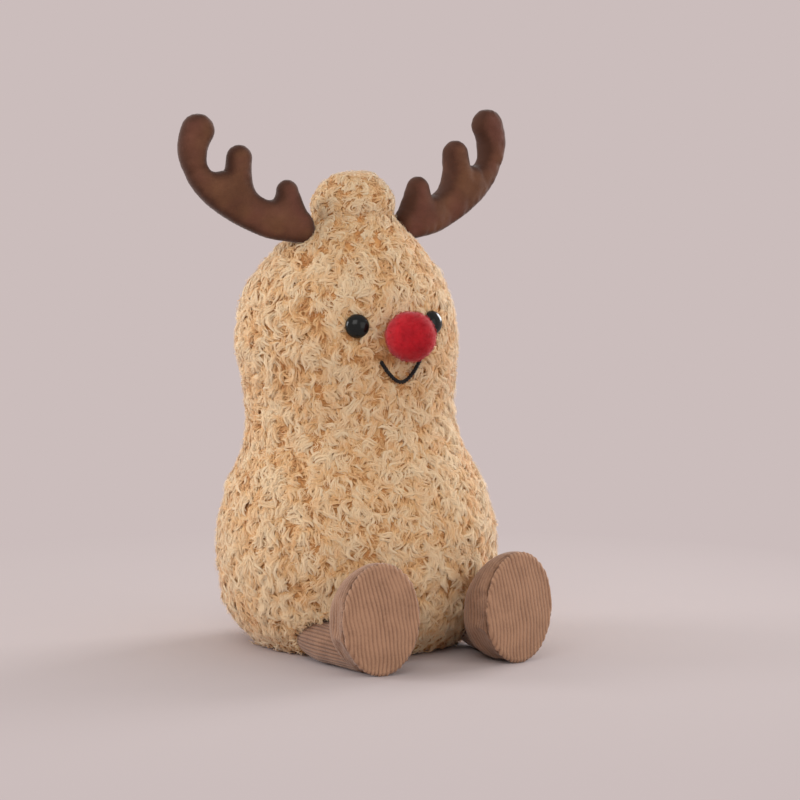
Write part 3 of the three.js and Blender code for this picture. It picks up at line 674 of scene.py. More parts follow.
def mirrored(points, side):
    """Points of the left side, mirrored for the right one."""
    return points * np.array([side, 1, 1])


def noise_at(points, size, seed=0.0):
    """Smooth noise from about -1 to 1 at points in millimetres, with features of a given size."""
    shift = Vector((seed, 0.7 * seed, -1.3 * seed))
    return np.array([noise.noise(Vector(point) / size + shift) for point in points])


def plump(points, faces, held, pressure, slack, cap):
    """A sewn cover blown up by its stuffing: cloth that is a little too large for its held seam.
    It runs at ten times its size, where the cloth solver is at ease."""
    grow, steps = 10 * MM, 20
    mesh = bpy.data.meshes.new("cover")
    mesh.from_pydata((points * grow).tolist(), [], faces)
    cover = placed("cover", mesh)
    scene = bpy.context.scene
    seam = cover.vertex_groups.new(name="seam")
    seam.add([int(i) for i in np.flatnonzero(held)], 1.0, "REPLACE")
    cloth = cover.modifiers.new("Stuffing", "CLOTH")
    fabric = cloth.settings
    for setting, value in (
            ("quality", 7), ("mass", 0.25), ("tension_stiffness", 12), ("compression_stiffness", 12),
            ("shear_stiffness", 6), ("bending_stiffness", 0.2), ("use_pressure", True),
            ("uniform_pressure_force", pressure), ("shrink_min", -slack), ("vertex_group_mass", "seam")):
        setattr(fabric, setting, value)
    fabric.effector_weights.gravity = 0
    cloth.collision_settings.use_collision = False
    cloth.point_cache.frame_start, cloth.point_cache.frame_end = 1, steps
    for step in range(1, steps + 1):
        scene.frame_set(step)
    depsgraph = bpy.context.evaluated_depsgraph_get()
    blown = cover.evaluated_get(depsgraph).data
    after = np.array([vertex.co for vertex in blown.vertices]) / grow
    scene.frame_set(1)
    bpy.data.objects.remove(cover)
    shift = after - points
    far = np.linalg.norm(shift, axis=1, keepdims=True)
    return points + shift * np.minimum(1, cap / np.maximum(far, 1e-9))


# The fur skin's form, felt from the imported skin


class Skin:
    """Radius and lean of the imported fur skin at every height, in millimetres."""

    def __init__(self):
        vertices, faces = [], []
        for node in FUR_NODES:
            mesh = frame["nodes"][node].data
            first = len(vertices)
            vertices += [vertex.co / MM for vertex in mesh.vertices]
            faces += [[first + i for i in face.vertices] for face in mesh.polygons]
        tree = BVHTree.FromPolygons(vertices, faces)
        beside, far = 2.0, 200.0
        rows = []
        top = max(vertex.z for vertex in vertices)
        levels = np.linspace(0.4, top - 0.2, 260)
        for z in levels:
            front = tree.ray_cast(Vector((beside, -far, z)), Vector((0, 1, 0)))[0]
            back = tree.ray_cast(Vector((beside, far, z)), Vector((0, -1, 0)))[0]
            if front and back:
                rows.append((z, front.y, back.y))
        self.heights, front, back = np.array(rows).T
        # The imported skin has 32 facets, which lie inside its round form by this share
        facet = math.cos(math.pi / 32)
        radii = (back - front) / 2 / facet
        leans = (back + front) / 2
        window = np.hanning(11)
        window /= window.sum()
        self.radii = self.smoothed(radii, window)
        self.leans = self.smoothed(leans, window)
        self.slopes = np.gradient(self.radii, self.heights)

    @staticmethod
    def smoothed(values, window):
        """Evens out the facets, with both ends kept in place."""
        half = len(window) // 2
        before = 2 * values[0] - values[half:0:-1]
        after = 2 * values[-1] - values[-2:-half - 2:-1]
        return np.convolve(np.concatenate([before, values, after]), window, "valid")

    def at(self, height):
        """Radius, lean and slope at a height."""
        return tuple(np.interp(height, self.heights, row) for row in (self.radii, self.leans, self.slopes))

    def point(self, bearing, height, out=0.0):
        """A point on the skin and the way out of it there; bearing 0 is the middle of the face."""
        radius, lean, slope = self.at(height)
        way = np.array([math.sin(bearing), -math.cos(bearing), -slope])
        way /= np.linalg.norm(way)
        spot = np.array([radius * math.sin(bearing), lean - radius * math.cos(bearing), height])
        return spot + out * way, way


SKIN = Skin()

# Places on the seat and the face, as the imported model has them
SEAT_RADIUS = 40.0
EYE_BEARING, EYE_HEIGHT = math.radians(22.6), 136.4
NOSE_HEIGHT = 131.6
MOUTH_BEARING, MOUTH_HEIGHT, MOUTH_DROP = math.radians(11.3), 122.3, 9.0
EYE_RADIUS, EYE_DOME = 5.0, 4.0


def mouth_line(out, count=25):
    """The mouth's rounded V on the face."""
    line = []
    for across in np.linspace(-1, 1, count):
        depth = 1 - abs(across) ** 1.8
        line.append(SKIN.point(across * MOUTH_BEARING, MOUTH_HEIGHT - MOUTH_DROP * depth, out)[0])
    return np.array(line)


# Legs and boots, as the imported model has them
LEG_RADIUS, ANKLE_RADIUS, HIP_RADIUS, LEG_SIDES = 8.4, 7.6, 6.8, 48
LEG_LENGTH, TOE_IN = 47.5, 5.0
SOLE_HALF_WIDTH, SOLE_HALF_HEIGHT, SOLE_WALL = 16.4, 22.6, 2.2
BOOT_DEPTH, BOOT_BULGE, BOOT_SPLAY = 22.0, 0.13, math.radians(6.5)
STITCH_LENGTH, STITCH_WIDTH = 2.1, 0.55
ANKLE_SHARE = 1 - 0.6 * BOOT_DEPTH / LEG_LENGTH
ANKLE = np.array([-TOE_IN * ANKLE_SHARE, -LEG_LENGTH * ANKLE_SHARE, ANKLE_RADIUS - LEG_RADIUS])
BOOT_SEAT = np.array([-TOE_IN, -LEG_LENGTH, SOLE_HALF_HEIGHT + 0.2 - HIP[2]])
HEEL_DROP = BOOT_SEAT[2] - ANKLE[2]


def leg_radius(share):
    """Radius of the leg along its length."""
    fullness = np.sin(np.minimum(share / 0.35, 1) * math.pi / 2)
    return HIP_RADIUS + (LEG_RADIUS + (ANKLE_RADIUS - LEG_RADIUS) * share - HIP_RADIUS) * fullness


def leg_clearance(points):
    """Distance from points to the space that a leg sweeps, below zero inside it."""
    points = np.asarray(points)
    side = np.abs(points[:, 0]) - HIP[0]
    ahead, up = HIP[1] - points[:, 1], points[:, 2] - HIP[2]
    reach = np.hypot(ahead, up)
    turn = np.arctan2(up, ahead)
    beyond = np.maximum(np.maximum(LEG_DROP - turn, turn - LEG_LIFT), 0)
    along = reach * np.cos(beyond)
    off = reach * np.sin(np.minimum(beyond, math.pi / 2))
    lateral = side + along * TOE_IN / LEG_LENGTH
    tube = np.hypot(lateral, off) - leg_radius(np.clip(along / LEG_LENGTH, 0, 1))
    tube = np.where(beyond < math.pi / 2, tube, 1e3)
    ball = np.hypot(side, reach) - HIP_RADIUS
    return np.minimum(tube, ball)


# Fur


def backing_rings(sink):
    """Rows of the knitted backing from under the seat to the crown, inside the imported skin."""
    count, sides = 150, 160
    rows = []
    slope_out = np.hypot(1, SKIN.slopes)
    radii = SKIN.radii - sink / slope_out
    heights = SKIN.heights + sink * SKIN.slopes / slope_out
    # Radius, height and lean, from the seat's middle out to its edge, up the skin and over the crown
    path = [(2.0, 1.9, 0.0), (24.0, 1.7, 0.0), (38.0, 1.5, 0.0)]
    path += [(r, max(z, 0.9), lean) for r, z, lean in zip(radii, heights, SKIN.leans)]
    last_radius, last_height, last_lean = path[-1]
    for turn in (0.25, 0.5, 0.75, 0.93):
        angle = turn * math.pi / 2
        path.append((last_radius * math.cos(angle), last_height + 1.6 * math.sin(angle), last_lean))
    path = np.array(path)
    run = np.concatenate([[0], np.cumsum(np.hypot(*np.diff(path[:, :2], axis=0).T))])
    turns = bearings(sides)
    for place in np.linspace(0, run[-1], count):
        radius, height, lean = (np.interp(place, run, path[:, i]) for i in range(3))
        rows.append(np.stack([radius * np.sin(turns), lean - radius * np.cos(turns),
                              np.full(sides, height)], 1))
    return rows


def leave_leg_room(points, gap=0.4):
    """Draws the skin in where a leg swings, towards the body's middle."""
    points = points.copy()
    middle = np.interp(points[:, 2], SKIN.heights, SKIN.leans)
    inwards = unit(np.stack([-points[:, 0], middle - points[:, 1], np.zeros(len(points))], 1))
    step = 0.4
    for _ in range(60):
        inside = leg_clearance(points) < gap
        points[inside] += step * inwards[inside]
    return points


def combed(points, normals):
    """Which way the pile leans at each point: down and outwards, in swirls of about 7 mm that calm
    down towards the seat."""
    height = points[:, 2]
    lean = np.interp(height, SKIN.heights, SKIN.leans)
    # On top of the crown it leans forwards and to the toy's right instead
    top = np.clip((height - 186) / 6, 0, 1)
    down = laid_on(np.stack([0.03 * points[:, 0] * (1 - top) - 0.5 * top,
                             0.03 * (points[:, 1] - lean) * (1 - top) - top, top - 1], 1), normals)
    across = np.cross(normals, down)
    turn = 1.3 * noise_at(points, 7.5) + 1.6 * noise_at(points, 3.6, 5.0)
    turn *= np.interp(height, (30, 75), (0.45, 1.0))
    way = down * np.cos(turn)[:, None] + across * np.sin(turn)[:, None]
    # By the legs the pile leans forwards, over their roots
    over = np.exp(-(np.maximum(leg_clearance(points), 0) / 3.5) ** 2)[:, None]
    way += over * np.array([0.0, -0.9, -0.2])
    return unit(way)


def pile_at(points, combing, reach):
    """Length and cover of the pile at each point: short where it leans over a feature, none under it."""
    height = points[:, 2]
    pile, cover = np.ones((2, len(points)))
    # Each feature's place, the reach and the bare reach round it, and the least share of the length there
    spots = [(SKIN.point(side * EYE_BEARING, EYE_HEIGHT)[0], 4.9, 4.6, 0.22) for _, side in SIDES]
    spots.append((SKIN.point(0, NOSE_HEIGHT)[0], 7.0, 6.0, 0.3))
    spots += [(mirrored(ANTLER_ROOT, side), 4.6, 4.4, 0.5) for _, side in SIDES]
    spots += [(spot, 1.2, 0.0, 0.4) for spot in mouth_line(out=0, count=15)]
    for spot, clear, bare, least in spots:
        away = spot - points
        far = np.linalg.norm(away, axis=1)
        near = far < clear + reach + 2
        towards = np.sum(away[near] * combing[near], 1) / np.maximum(far[near], 1e-6)
        limit = (far[near] - clear) / (reach * np.maximum(towards, 0.2))
        pile[near] = np.minimum(pile[near], np.clip(limit, least, 1))
        cover[far < bare] = 0
    # The crown's pile is shorter, and the legs need their room
    pile *= np.interp(height, (164, 172, 190, 197), (1, 0.62, 0.62, 0.5))
    cover[leg_clearance(points) < 0.55] = 0
    # None grows behind the seat panel, and it is short near the floor
    cover[(height < 3) & (np.hypot(points[:, 0], points[:, 1]) < SEAT_RADIUS + 1.5)] = 0
    low = (height < 9) & (cover > 0)
    pile[low] = np.minimum(pile[low], 0.45 + 0.06 * height[low])
    return pile, cover


# Bands of the pile by height, each with a left and a right piece, and the crown in one piece
BANDS = (("seat", 0, 36), ("belly", 36, 68), ("waist", 68, 104), ("cheek", 104, 138), ("brow", 138, 172))
CROWN = ("crown", 172, 400, 0)


def band_mask(points, low, high, side):
    """Which points belong to a band of heights, on one side or, for side 0, all round."""
    x, height = points[:, 0], points[:, 2]
    beside = {1: x >= 0, -1: x < 0, 0: True}[side]
    return (height >= low) & (height < high) & beside


class PLUSH_OT_fur(bpy.types.Operator):
    """Lay the knitted backing over the stuffed body and grow the curled pile on it"""

    bl_idname = "plush.fur"
    bl_label = "Fur"

    def execute(self, context):
        look = context.scene.plush_fur
        points, faces = ring_skin(backing_rings(look.sink / MM))
        points = leave_leg_room(points)
        mesh = mesh_of("fur_backing", points, faces)
        normals = normals_of(mesh)
        combing = combed(points, normals)
        pile, cover = pile_at(points, combing, look.lock_length / MM)
        lumps = 0.5 * noise_at(points, 8.0, 2.0)
        move_points(mesh, points + normals * (lumps * cover)[:, None])
        backing = object_of("fur_backing", mesh, knit_backing())
        material = faux_fur()
        curls, wisps = lock_tree("Curled locks", True), lock_tree("Loose wisps", False)
        layers = (("fur", curls, look.lock_length, look.lock_width, look.lock_lift, look.spacing),
                  ("fuzz", wisps, look.fuzz_length, look.fuzz_width, look.fuzz_lift, look.fuzz_spacing))
        patches = [(f"{name}_{side_name}", low, high, side)
                   for name, low, high in BANDS for side_name, side in SIDES]
        for number, (name, low, high, side) in enumerate([*patches, CROWN]):
            mask = band_mask(points, low, high, side)
            # The crown's pile is denser
            closer = 1.0 if side else 0.82
            ground = mesh.copy()
            for label, values in (("cover", cover * mask), ("pile", pile), ("combing", combing)):
                put(ground, label, values)
            for layer, tree, length, width, lift, spacing in layers:
                piece = grown(f"{layer}_{name}", ground.copy(), tree, {
                    "Length": length, "Width": width, "Lift": lift, "Sway": look.lock_sway,
                    "Tuft": look.tuft, "Spacing": closer * spacing, "Seed": number,
                    "Material": material})
                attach(piece, "torso")
        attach(backing, "torso")
        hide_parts(*FUR_NODES, *TORSO_INSIDES)
        return {"FINISHED"}


class PLUSH_OT_seat(bpy.types.Operator):
    """Sew the woven panel under the seat"""

    bl_idname = "plush.seat"
    bl_label = "Seat panel"

    def execute(self, context):
        # Share of the radius and height, from the hollow underside over the rolled edge to the top
        profile = [(0.0, 0.9), (0.7, 0.7), (0.93, 0.3), (0.985, 0.35), (1.0, 0.9), (0.985, 1.5), (0.9, 1.7),
                   (0.0, 1.8)]
        sides = 96
        turns = bearings(sides)
        rings = []
        for share, height in profile:
            radius = max(SEAT_RADIUS * share, 1.0)
            rings.append(np.stack([radius * np.cos(turns), radius * np.sin(turns),
                                   np.full(sides, height)], 1))
        points, faces = ring_skin(rings)
        points = leave_leg_room(points)
        panel = object_of("seat_cloth_panel", mesh_of("seat_cloth_panel", points, faces), seat_weave())
        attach(panel, "torso")
        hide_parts("seat_panel")
        return {"FINISHED"}


# Legs and boots


def ridge(place, pitch):
    """Height of corduroy at a place across its ribs: 0 in a groove, 1 on a rib."""
    return np.abs(np.sin(math.pi * place / pitch)) ** 0.7


def leg_rings():
    """Rows of the leg's tube from the hip's round end to inside the boot, and each point's way round it."""
    run = ANKLE / np.linalg.norm(ANKLE)
    across = np.array([1, 0, 0]) - run * run[0]
    across /= np.linalg.norm(across)
    upright = np.cross(across, run)
    turns = bearings(LEG_SIDES)
    ring = np.cos(turns)[:, None] * across + np.sin(turns)[:, None] * upright
    rows = []
    for step in (0.9, 0.65, 0.35):
        angle = step * math.pi / 2
        rows.append((-HIP_RADIUS * math.sin(angle) * run, HIP_RADIUS * math.cos(angle)))
    for share in np.linspace(0, 1.15, 14):
        rows.append((share * ANKLE, float(leg_radius(min(share, 1.0)))))
    angles = np.stack([np.cos(turns), np.sin(turns)], 1)
    return [centre + radius * ring for centre, radius in rows], np.tile(angles, (len(rows), 1))


def boot_rows():
    """Rows of the boot as half width, half height, depth and sink, and -1 on the sole or 1 on the upper."""
    rows = []
    front = -(SOLE_WALL + 0.3)
    # The sole's face is a little domed
    for share in np.linspace(0.04, 0.9, 13):
        depth = front - 0.9 * (1 - share ** 2)
        rows.append((SOLE_HALF_WIDTH * share, SOLE_HALF_HEIGHT * share, depth, 0.0, -1))
    # It rolls over at its edge, up to the seam
    for turn in (0.25, 0.5, 0.75, 1.0):
        angle = turn * math.pi / 2
        out = 0.9 + 0.115 * math.sin(angle)
        depth = front * math.cos(angle) ** 0.8 - 0.5
        rows.append((SOLE_HALF_WIDTH * out, SOLE_HALF_HEIGHT * out, depth, 0.0, -1))
    # The upper bulges behind the seam and closes like a bell
    for share in (0.0, *np.linspace(0.03, 0.97, 17)):
        angle = math.pi / 2 * share
        full = math.sqrt(math.cos(angle))
        wide = SOLE_HALF_WIDTH * full * (1 + BOOT_BULGE * math.sin(2 * angle))
        rows.append((wide, SOLE_HALF_HEIGHT * full, BOOT_DEPTH * math.sin(angle), HEEL_DROP * (1 - full), 1))
    return rows


def boot_form():
    """Points and faces of a boot, how far along from the sole's seam each point is, and the seam's points."""
    sides = 96
    turns = bearings(sides)
    rows = boot_rows()
    rings = [np.stack([wide * np.cos(turns), np.full(sides, depth), tall * np.sin(turns) - sink], 1)
             for wide, tall, depth, sink, _ in rows]
    seam = next(i for i, row in enumerate(rows) if row[4] > 0)
    steps = np.linalg.norm(np.diff(rings, axis=0), axis=2).mean(1)
    run = np.cumsum([0.0, *steps])
    run -= run[seam]
    along = np.repeat(run, sides)
    points, faces = ring_skin(rings)
    along = np.concatenate([along, [run[0], run[-1]]])
    return points, faces, along, seam * sides + np.arange(sides)


def to_world(points, side):
    """Points in the left leg's frame placed on the toy, mirrored for the right one."""
    return mirrored(points + HIP, side)


def boot_to_leg(points):
    """Points in the boot's frame placed in the leg's."""
    return turned(points, BOOT_SPLAY) + BOOT_SEAT


class PLUSH_OT_legs(bpy.types.Operator):
    """Make the corduroy legs and boots, with ribs, sole seams and stitches"""

    bl_idname = "plush.legs"
    bl_label = "Legs"

    def execute(self, context):
        look = context.scene.plush_cord
        cord = needlecord()
        stitching = thread_cotton("cotton_thread_brown", look.stitch)
        pitch, height = look.pitch / MM, look.height / MM
        tube, tube_turns = leg_rings()
        tube_points, tube_faces = ring_skin(tube)
        # The hip's first ring, the last ring and both tips stay where they are
        held = np.zeros(len(tube_points), bool)
        held[:LEG_SIDES] = held[-LEG_SIDES - 2:] = True
        tube_points = plump(tube_points, tube_faces, held, 1.0, 0.02, 0.6)
        turns = np.vstack([tube_turns, tube_turns[:1], tube_turns[:1]])
        boot_points, boot_faces, along, seam = boot_form()
        held = np.zeros(len(boot_points), bool)
        held[seam] = True
        blown = plump(boot_points, boot_faces, held, 1.5, 0.015, 0.9)
        threads = stitch_tree()
        for side_name, side in SIDES:
            body = f"leg_{side_name}"
            leg = self.leg_cover(body, tube_points, tube_faces, turns, side, height, cord)
            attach(leg, body)
            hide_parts(f"leg_tube_{side_name}", f"leg_fill_{side_name}")
            boot = self.boot(side_name, blown, boot_points, boot_faces, along, side, pitch, height, cord)
            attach(boot, body)
            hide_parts(f"boot_upper_{side_name}", f"boot_sole_{side_name}", f"boot_fill_{side_name}")
            # The stitches lie just inside the seam
            ring = to_world(boot_to_leg(boot_points[seam] * np.array([0.985, 1, 0.985])), side)
            count = len(ring)
            edges = [(i, (i + 1) % count) for i in range(count)]
            length = float(np.linalg.norm(np.roll(ring, -1, 0) - ring, axis=1).sum())
            stitches = grown(f"boot_stitches_{side_name}", mesh_of("seam", ring, [], edges), threads, {
                "Length": STITCH_LENGTH * MM, "Width": STITCH_WIDTH * MM,
                "Count": round(length * MM / look.stitch_spacing), "Material": stitching})
            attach(stitches, body)
        return {"FINISHED"}

    @staticmethod
    def leg_cover(body, points, faces, turns, side, height, cord):
        """The leg's tube with ribs that run along it."""
        mesh = mesh_of(f"{body}_cover", to_world(points, side), faces,
                       attributes={"turn_x": turns[:, 0], "turn_y": turns[:, 1]})
        fine = refined(f"{body}_cover", mesh)
        angle = np.arctan2(take(fine, "turn_y"), take(fine, "turn_x"))
        wales_round = 31
        wale = ridge(angle * wales_round / math.tau, 1.0)
        base = points_of(fine)
        sag = 0.25 * noise_at(base, 7.0, 9.0)
        move_points(fine, base + normals_of(fine) * (height * (wale - 0.6) + sag)[:, None])
        put(fine, "wale", wale)
        # Painted shade darkens the whole leg
        put(fine, "nap", np.full(len(base), 0.5))
        return object_of(f"{body}_cover", fine, cord)

    @staticmethod
    def boot(side_name, points, rest, faces, along, side, pitch, height, cord):
        """The boot with vertical ribs on its sole, ribs round its upper and a drawn-in seam."""
        name = f"boot_{side_name}"
        mesh = mesh_of(name, to_world(boot_to_leg(points), side), faces, attributes={
            "across": side * rest[:, 0], "rise": rest[:, 2], "along": along})
        fine = refined(name, mesh)
        across, rise, along = (take(fine, label) for label in ("across", "rise", "along"))
        base = points_of(fine)
        # The sole's ribs stand upright and bow a little, and the upper's ribs run round it
        drift = 0.8 * noise_at(base, 9.0, 4.0)
        sole_place = across + 0.0035 * (rise + SOLE_HALF_HEIGHT) ** 2 + drift
        wale = np.where(along < 0, ridge(sole_place, pitch), ridge(along + drift, pitch))
        # The seam is drawn in, and the cloth beside it puckers between the stitches
        puckers_round = 33
        turn = np.arctan2(rise / SOLE_HALF_HEIGHT, across / SOLE_HALF_WIDTH)
        seam = np.exp(-(along / 0.9) ** 2)
        pucker = (0.5 + 0.5 * np.cos(puckers_round * turn)) * np.exp(-(along / 2.4) ** 2)
        sag = 0.3 * noise_at(base, 8.0, 7.0) * np.clip(0.6 + along / 4, 0.6, 1)
        folds = np.clip(0.5 + 1.2 * noise_at(base, 4.5, 2.5), 0.15, 1)
        shift = height * (wale - 0.6) * (1 - seam) + sag - 0.75 * seam - 0.7 * pucker * folds
        move_points(fine, base + normals_of(fine) * shift[:, None])
        # What the cloth's material shows: painted shade where the ribs are drawn into the seam and in the
        # puckers' dents, and painted shade over the upper
        put(fine, "wale", wale * (1 - 0.8 * seam) * (1 - 0.35 * pucker))
        put(fine, "nap", np.clip(along / 1.5, 0, 1) * 0.32 + 0.55 * folds * seam)
        return object_of(name, fine, cord)


# Antlers


def beam_line(reach, rise, share):
    """The beam's middle line in the antler's plane, x outwards and z up."""
    shares = ((0, 0), (0.46, 0.155), (1.16, 0.455), (0.92, 1))
    root, first, second, tip = np.array(shares) * (reach, rise)
    share = np.asarray(share)[..., None]
    rest = 1 - share
    return (rest ** 3 * root + 3 * rest ** 2 * share * first
            + 3 * rest * share ** 2 * second + share ** 3 * tip)


def beam_half_width(share):
    """Half the beam's width: narrow root, full first third, slim neck, rounder tip."""
    root, full, neck, tip = 5.8, 7.9, 5.0, 6.9
    rise = np.sin(np.minimum(share / 0.22, 1) * math.pi / 2) ** 2
    width = full + (neck - full) * np.minimum(share / 0.74, 1) ** 1.6
    width += (tip - width) * np.maximum((share - 0.74) / 0.26, 0)
    return root + (width - root) * rise


# The two tines: place along the beam, length, lean towards the head, half width, and how the foot flares
TINES = ((0.06, 15.3, math.radians(-6.4), 4.4, 0.9, 1.0), (0.395, 19.6, math.radians(4.6), 5.25, 1.0, 2.6))
# The fork between the long tine and the beam's tip: a filled web and the round gap over it, as x, z, radius
WEB, GAP = (35.0, 19.0, 5.6), (36.4, 28.4, 3.6)
ANTLER_SWEEP = math.radians(10)


def tine_distance(spot, root, length, lean, half_width, swell, sharpness):
    """Distance to a round-ended tine whose foot flares where it leaves the beam."""
    way = np.array([-math.sin(lean), math.cos(lean)])
    rest = spot - root
    along = rest @ way
    aside = np.abs(rest @ np.array([way[1], -way[0]]))
    widest, start = 1.75, 3.0
    flare = swell * (1 - np.clip(along / length, 0, 1)) ** sharpness
    side = aside - half_width * np.minimum(1 + flare, widest)
    tip = np.hypot(aside, along - length) - half_width
    return np.where(along > length, tip, np.maximum(side, start - along))


def round_join(first, second, fillet):
    """Distance to two forms joined with a fillet."""
    mix = np.clip(0.5 + 0.5 * (second - first) / fillet, 0, 1)
    return second + (first - second) * mix - fillet * mix * (1 - mix)


def antler_distance(x, z, reach, rise):
    """Distance to the antler's outline, below zero inside: a beam and two tines, round in their forks."""
    spot = np.stack([np.asarray(x, float), np.asarray(z, float)], -1)
    shares = np.linspace(0, 1, 70)
    centres = beam_line(reach, rise, shares)
    whole = (np.linalg.norm(spot[..., None, :] - centres, axis=-1) - beam_half_width(shares)).min(-1)
    for at, *sizes in TINES:
        tine = tine_distance(spot, beam_line(reach, rise, np.array(at)), *sizes)
        whole = round_join(whole, tine, fillet=5.0)
    web, gap = (np.hypot(spot[..., 0] - out, spot[..., 1] - high) - radius
                for out, high, radius in (WEB, GAP))
    return -round_join(-round_join(whole, web, fillet=3.0), gap, fillet=1.5)


def onto_outline(places, reach, rise, inwards=0.0):
    """Places in the antler's plane moved onto its outline, or a little way inside it."""
    small = 0.05
    here = antler_distance(*places.T, reach, rise)
    slope = np.stack([
        antler_distance(places[:, 0] + small, places[:, 1], reach, rise) - here,
        antler_distance(places[:, 0], places[:, 1] + small, reach, rise) - here], 1)
    return places - (here + inwards)[:, None] * unit(slope)


def neighbours(grid):
    """Sum of the four neighbours of each inner place of a grid."""
    return grid[2:, 1:-1] + grid[:-2, 1:-1] + grid[1:-1, 2:] + grid[1:-1, :-2]


def antler_form(look):
    """Points and faces of one stuffed antler in its own frame, and which points lie on its seam."""
    reach, rise, deep = look.reach / MM, look.rise / MM, look.thickness / MM
    step = 0.8
    # A grid of cells over the antler's plane, of which those inside the outline are kept
    xs = np.arange(-9, reach + 14, step)
    zs = np.arange(-12, rise + 12, step)
    grid_x, grid_z = np.meshgrid(xs, zs, indexing="ij")
    far = antler_distance(grid_x, grid_z, reach, rise)
    inside = far < -0.3 * step
    cell = inside[:-1, :-1] & inside[1:, :-1] & inside[:-1, 1:] & inside[1:, 1:]
    # A cell that stands alone on a row would leave a spike
    for _ in range(2):
        cell = cell & (neighbours(np.pad(cell, 1).astype(int)) > 1)
    used = np.zeros_like(inside)
    count = np.zeros(inside.shape, int)
    for dx, dz in ((0, 0), (1, 0), (0, 1), (1, 1)):
        view = (slice(dx, dx + cell.shape[0]), slice(dz, dz + cell.shape[1]))
        used[view] |= cell
        count[view] += cell
    rim = used & (count < 4)
    number = -np.ones(inside.shape, int)
    number[used] = np.arange(used.sum())
    flat = np.stack([grid_x[used], grid_z[used]], 1)
    on_rim = rim[used]

    # The rim is drawn onto the outline, and the rest is evened out between
    i, j = np.nonzero(cell)
    quads = np.stack([number[i, j], number[i + 1, j], number[i + 1, j + 1], number[i, j + 1]], 1)
    links = links_of(quads)
    for _ in range(30):
        flat[on_rim] = onto_outline(flat[on_rim], reach, rise)
        flat = eased(flat, links, np.where(on_rim, 0.35, 0.5)[:, None])
    flat[on_rim] = onto_outline(flat[on_rim], reach, rise)

    # Height of the stuffing: a stretched skin over the outline, its edge upright
    level = np.zeros(inside.shape)
    soft = far < 0
    for _ in range(1500):
        middle = np.pad(neighbours(level) / 4, 1)
        level = np.where(soft, middle + step ** 2 / 4, 0)
    # Evened out as a share of the way in from the outline, which has no steps
    gain = eased((level[used] / -far[used])[:, None], links, rounds=16)[:, 0]
    spread = np.sqrt(2 * gain * np.maximum(-antler_distance(*flat.T, reach, rise), 0))
    depth = deep * np.tanh(spread / deep)
    depth[on_rim] = 0
    front = np.stack([flat[:, 0], -depth, flat[:, 1]], 1)
    back_rows = np.flatnonzero(~on_rim)
    back = np.stack([flat[back_rows, 0], depth[back_rows], flat[back_rows, 1]], 1)
    behind = np.arange(len(flat))
    behind[back_rows] = len(flat) + np.arange(len(back_rows))
    faces = [*quads.tolist(), *behind[quads[:, ::-1]].tolist()]
    points = np.vstack([front, back])
    seam = np.concatenate([on_rim, np.zeros(len(back_rows), bool)])
    return points, faces, seam


def antler_to_world(points, side):
    """Points in the left antler's frame placed on the toy, mirrored for the right one."""
    return mirrored(turned(points, ANTLER_SWEEP) + ANTLER_ROOT, side)


class PLUSH_OT_antlers(bpy.types.Operator):
    """Make the two stuffed suede antlers, with their seams and puckers"""

    bl_idname = "plush.antlers"
    bl_label = "Antlers"

    def execute(self, context):
        suede = suede_cloth()
        look = context.scene.plush_antler
        points, faces, seam = antler_form(look)
        points = plump(points, faces, seam, 2.0, 0.03, 1.2)
        mesh = mesh_of("antler", points, faces, attributes={"seam": seam.astype(float)})
        fine = refined("antler", mesh, 1)
        base = eased(points_of(fine), links_of([tuple(face.vertices) for face in fine.polygons]), rounds=14)
        # Easing draws the outline in by uneven steps, so it is set back to one depth inside the form's
        # own outline, and takes its neighbours along
        depth = 0.33
        drawn_in = base[take(fine, "seam") > 0.99][:, [0, 2]]
        outline = drawn_in
        for _ in range(2):
            outline = onto_outline(outline, look.reach / MM, look.rise / MM, depth)
        tree = KDTree(len(drawn_in))
        for i, (x, z) in enumerate(drawn_in):
            tree.insert(Vector((x, 0, z)), i)
        tree.balance()
        found = [tree.find(Vector((x, 0, z))) for x, _, z in base]
        far = np.array([hit[2] for hit in found])
        back = (outline - drawn_in)[[hit[1] for hit in found]]
        base[:, [0, 2]] += back * np.exp(-(far / 3) ** 2)[:, None]
        move_points(fine, base)
        # The cloth is pressed close at the seam, puckers beside it and wrinkles on the open sides
        close = np.exp(-(far / 2.1) ** 2)
        pucker = noise_at(base * np.array([1, 0.35, 1]), 2.6, 3.0) * np.exp(-((far - 2.6) / 1.7) ** 2)
        crest = np.exp(-(np.abs(base[:, 1]) / 0.5) ** 2) * np.exp(-(far / 0.8) ** 2)
        wrinkle = 0.3 * noise_at(base, 6.0, 8.0)
        shift = 0.3 * pucker + wrinkle * (1 - close) - 0.12 * crest + 0.45
        shaped = base + normals_of(fine) * shift[:, None]
        for side_name, side in SIDES:
            name = f"antler_plush_{side_name}"
            copy = fine.copy()
            move_points(copy, antler_to_world(shaped, side))
            if side < 0:
                copy.flip_normals()
            # Painted shade darkens the cloth near the seam
            put(copy, "seam_painted_shade", close)
            antler = object_of(name, copy, suede)
            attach(antler, f"antler_{side_name}")
            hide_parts(f"antler_front_{side_name}", f"antler_back_{side_name}",
                        f"antler_fill_{side_name}")
        return {"FINISHED"}


# Face


def turned_skin(profile, centre, way, sides=64):
    """A round form from (radius, height) pairs, its axis from a centre along a way."""
    way = Vector(way).normalized()
    across = way.orthogonal().normalized()
    beside = way.cross(across)
    turns = bearings(sides)
    ring = np.cos(turns)[:, None] * np.array(across) + np.sin(turns)[:, None] * np.array(beside)
    rings = [np.asarray(centre) + max(radius, 0.02) * ring + height * np.array(way)
             for radius, height in profile]
    return ring_skin(rings)


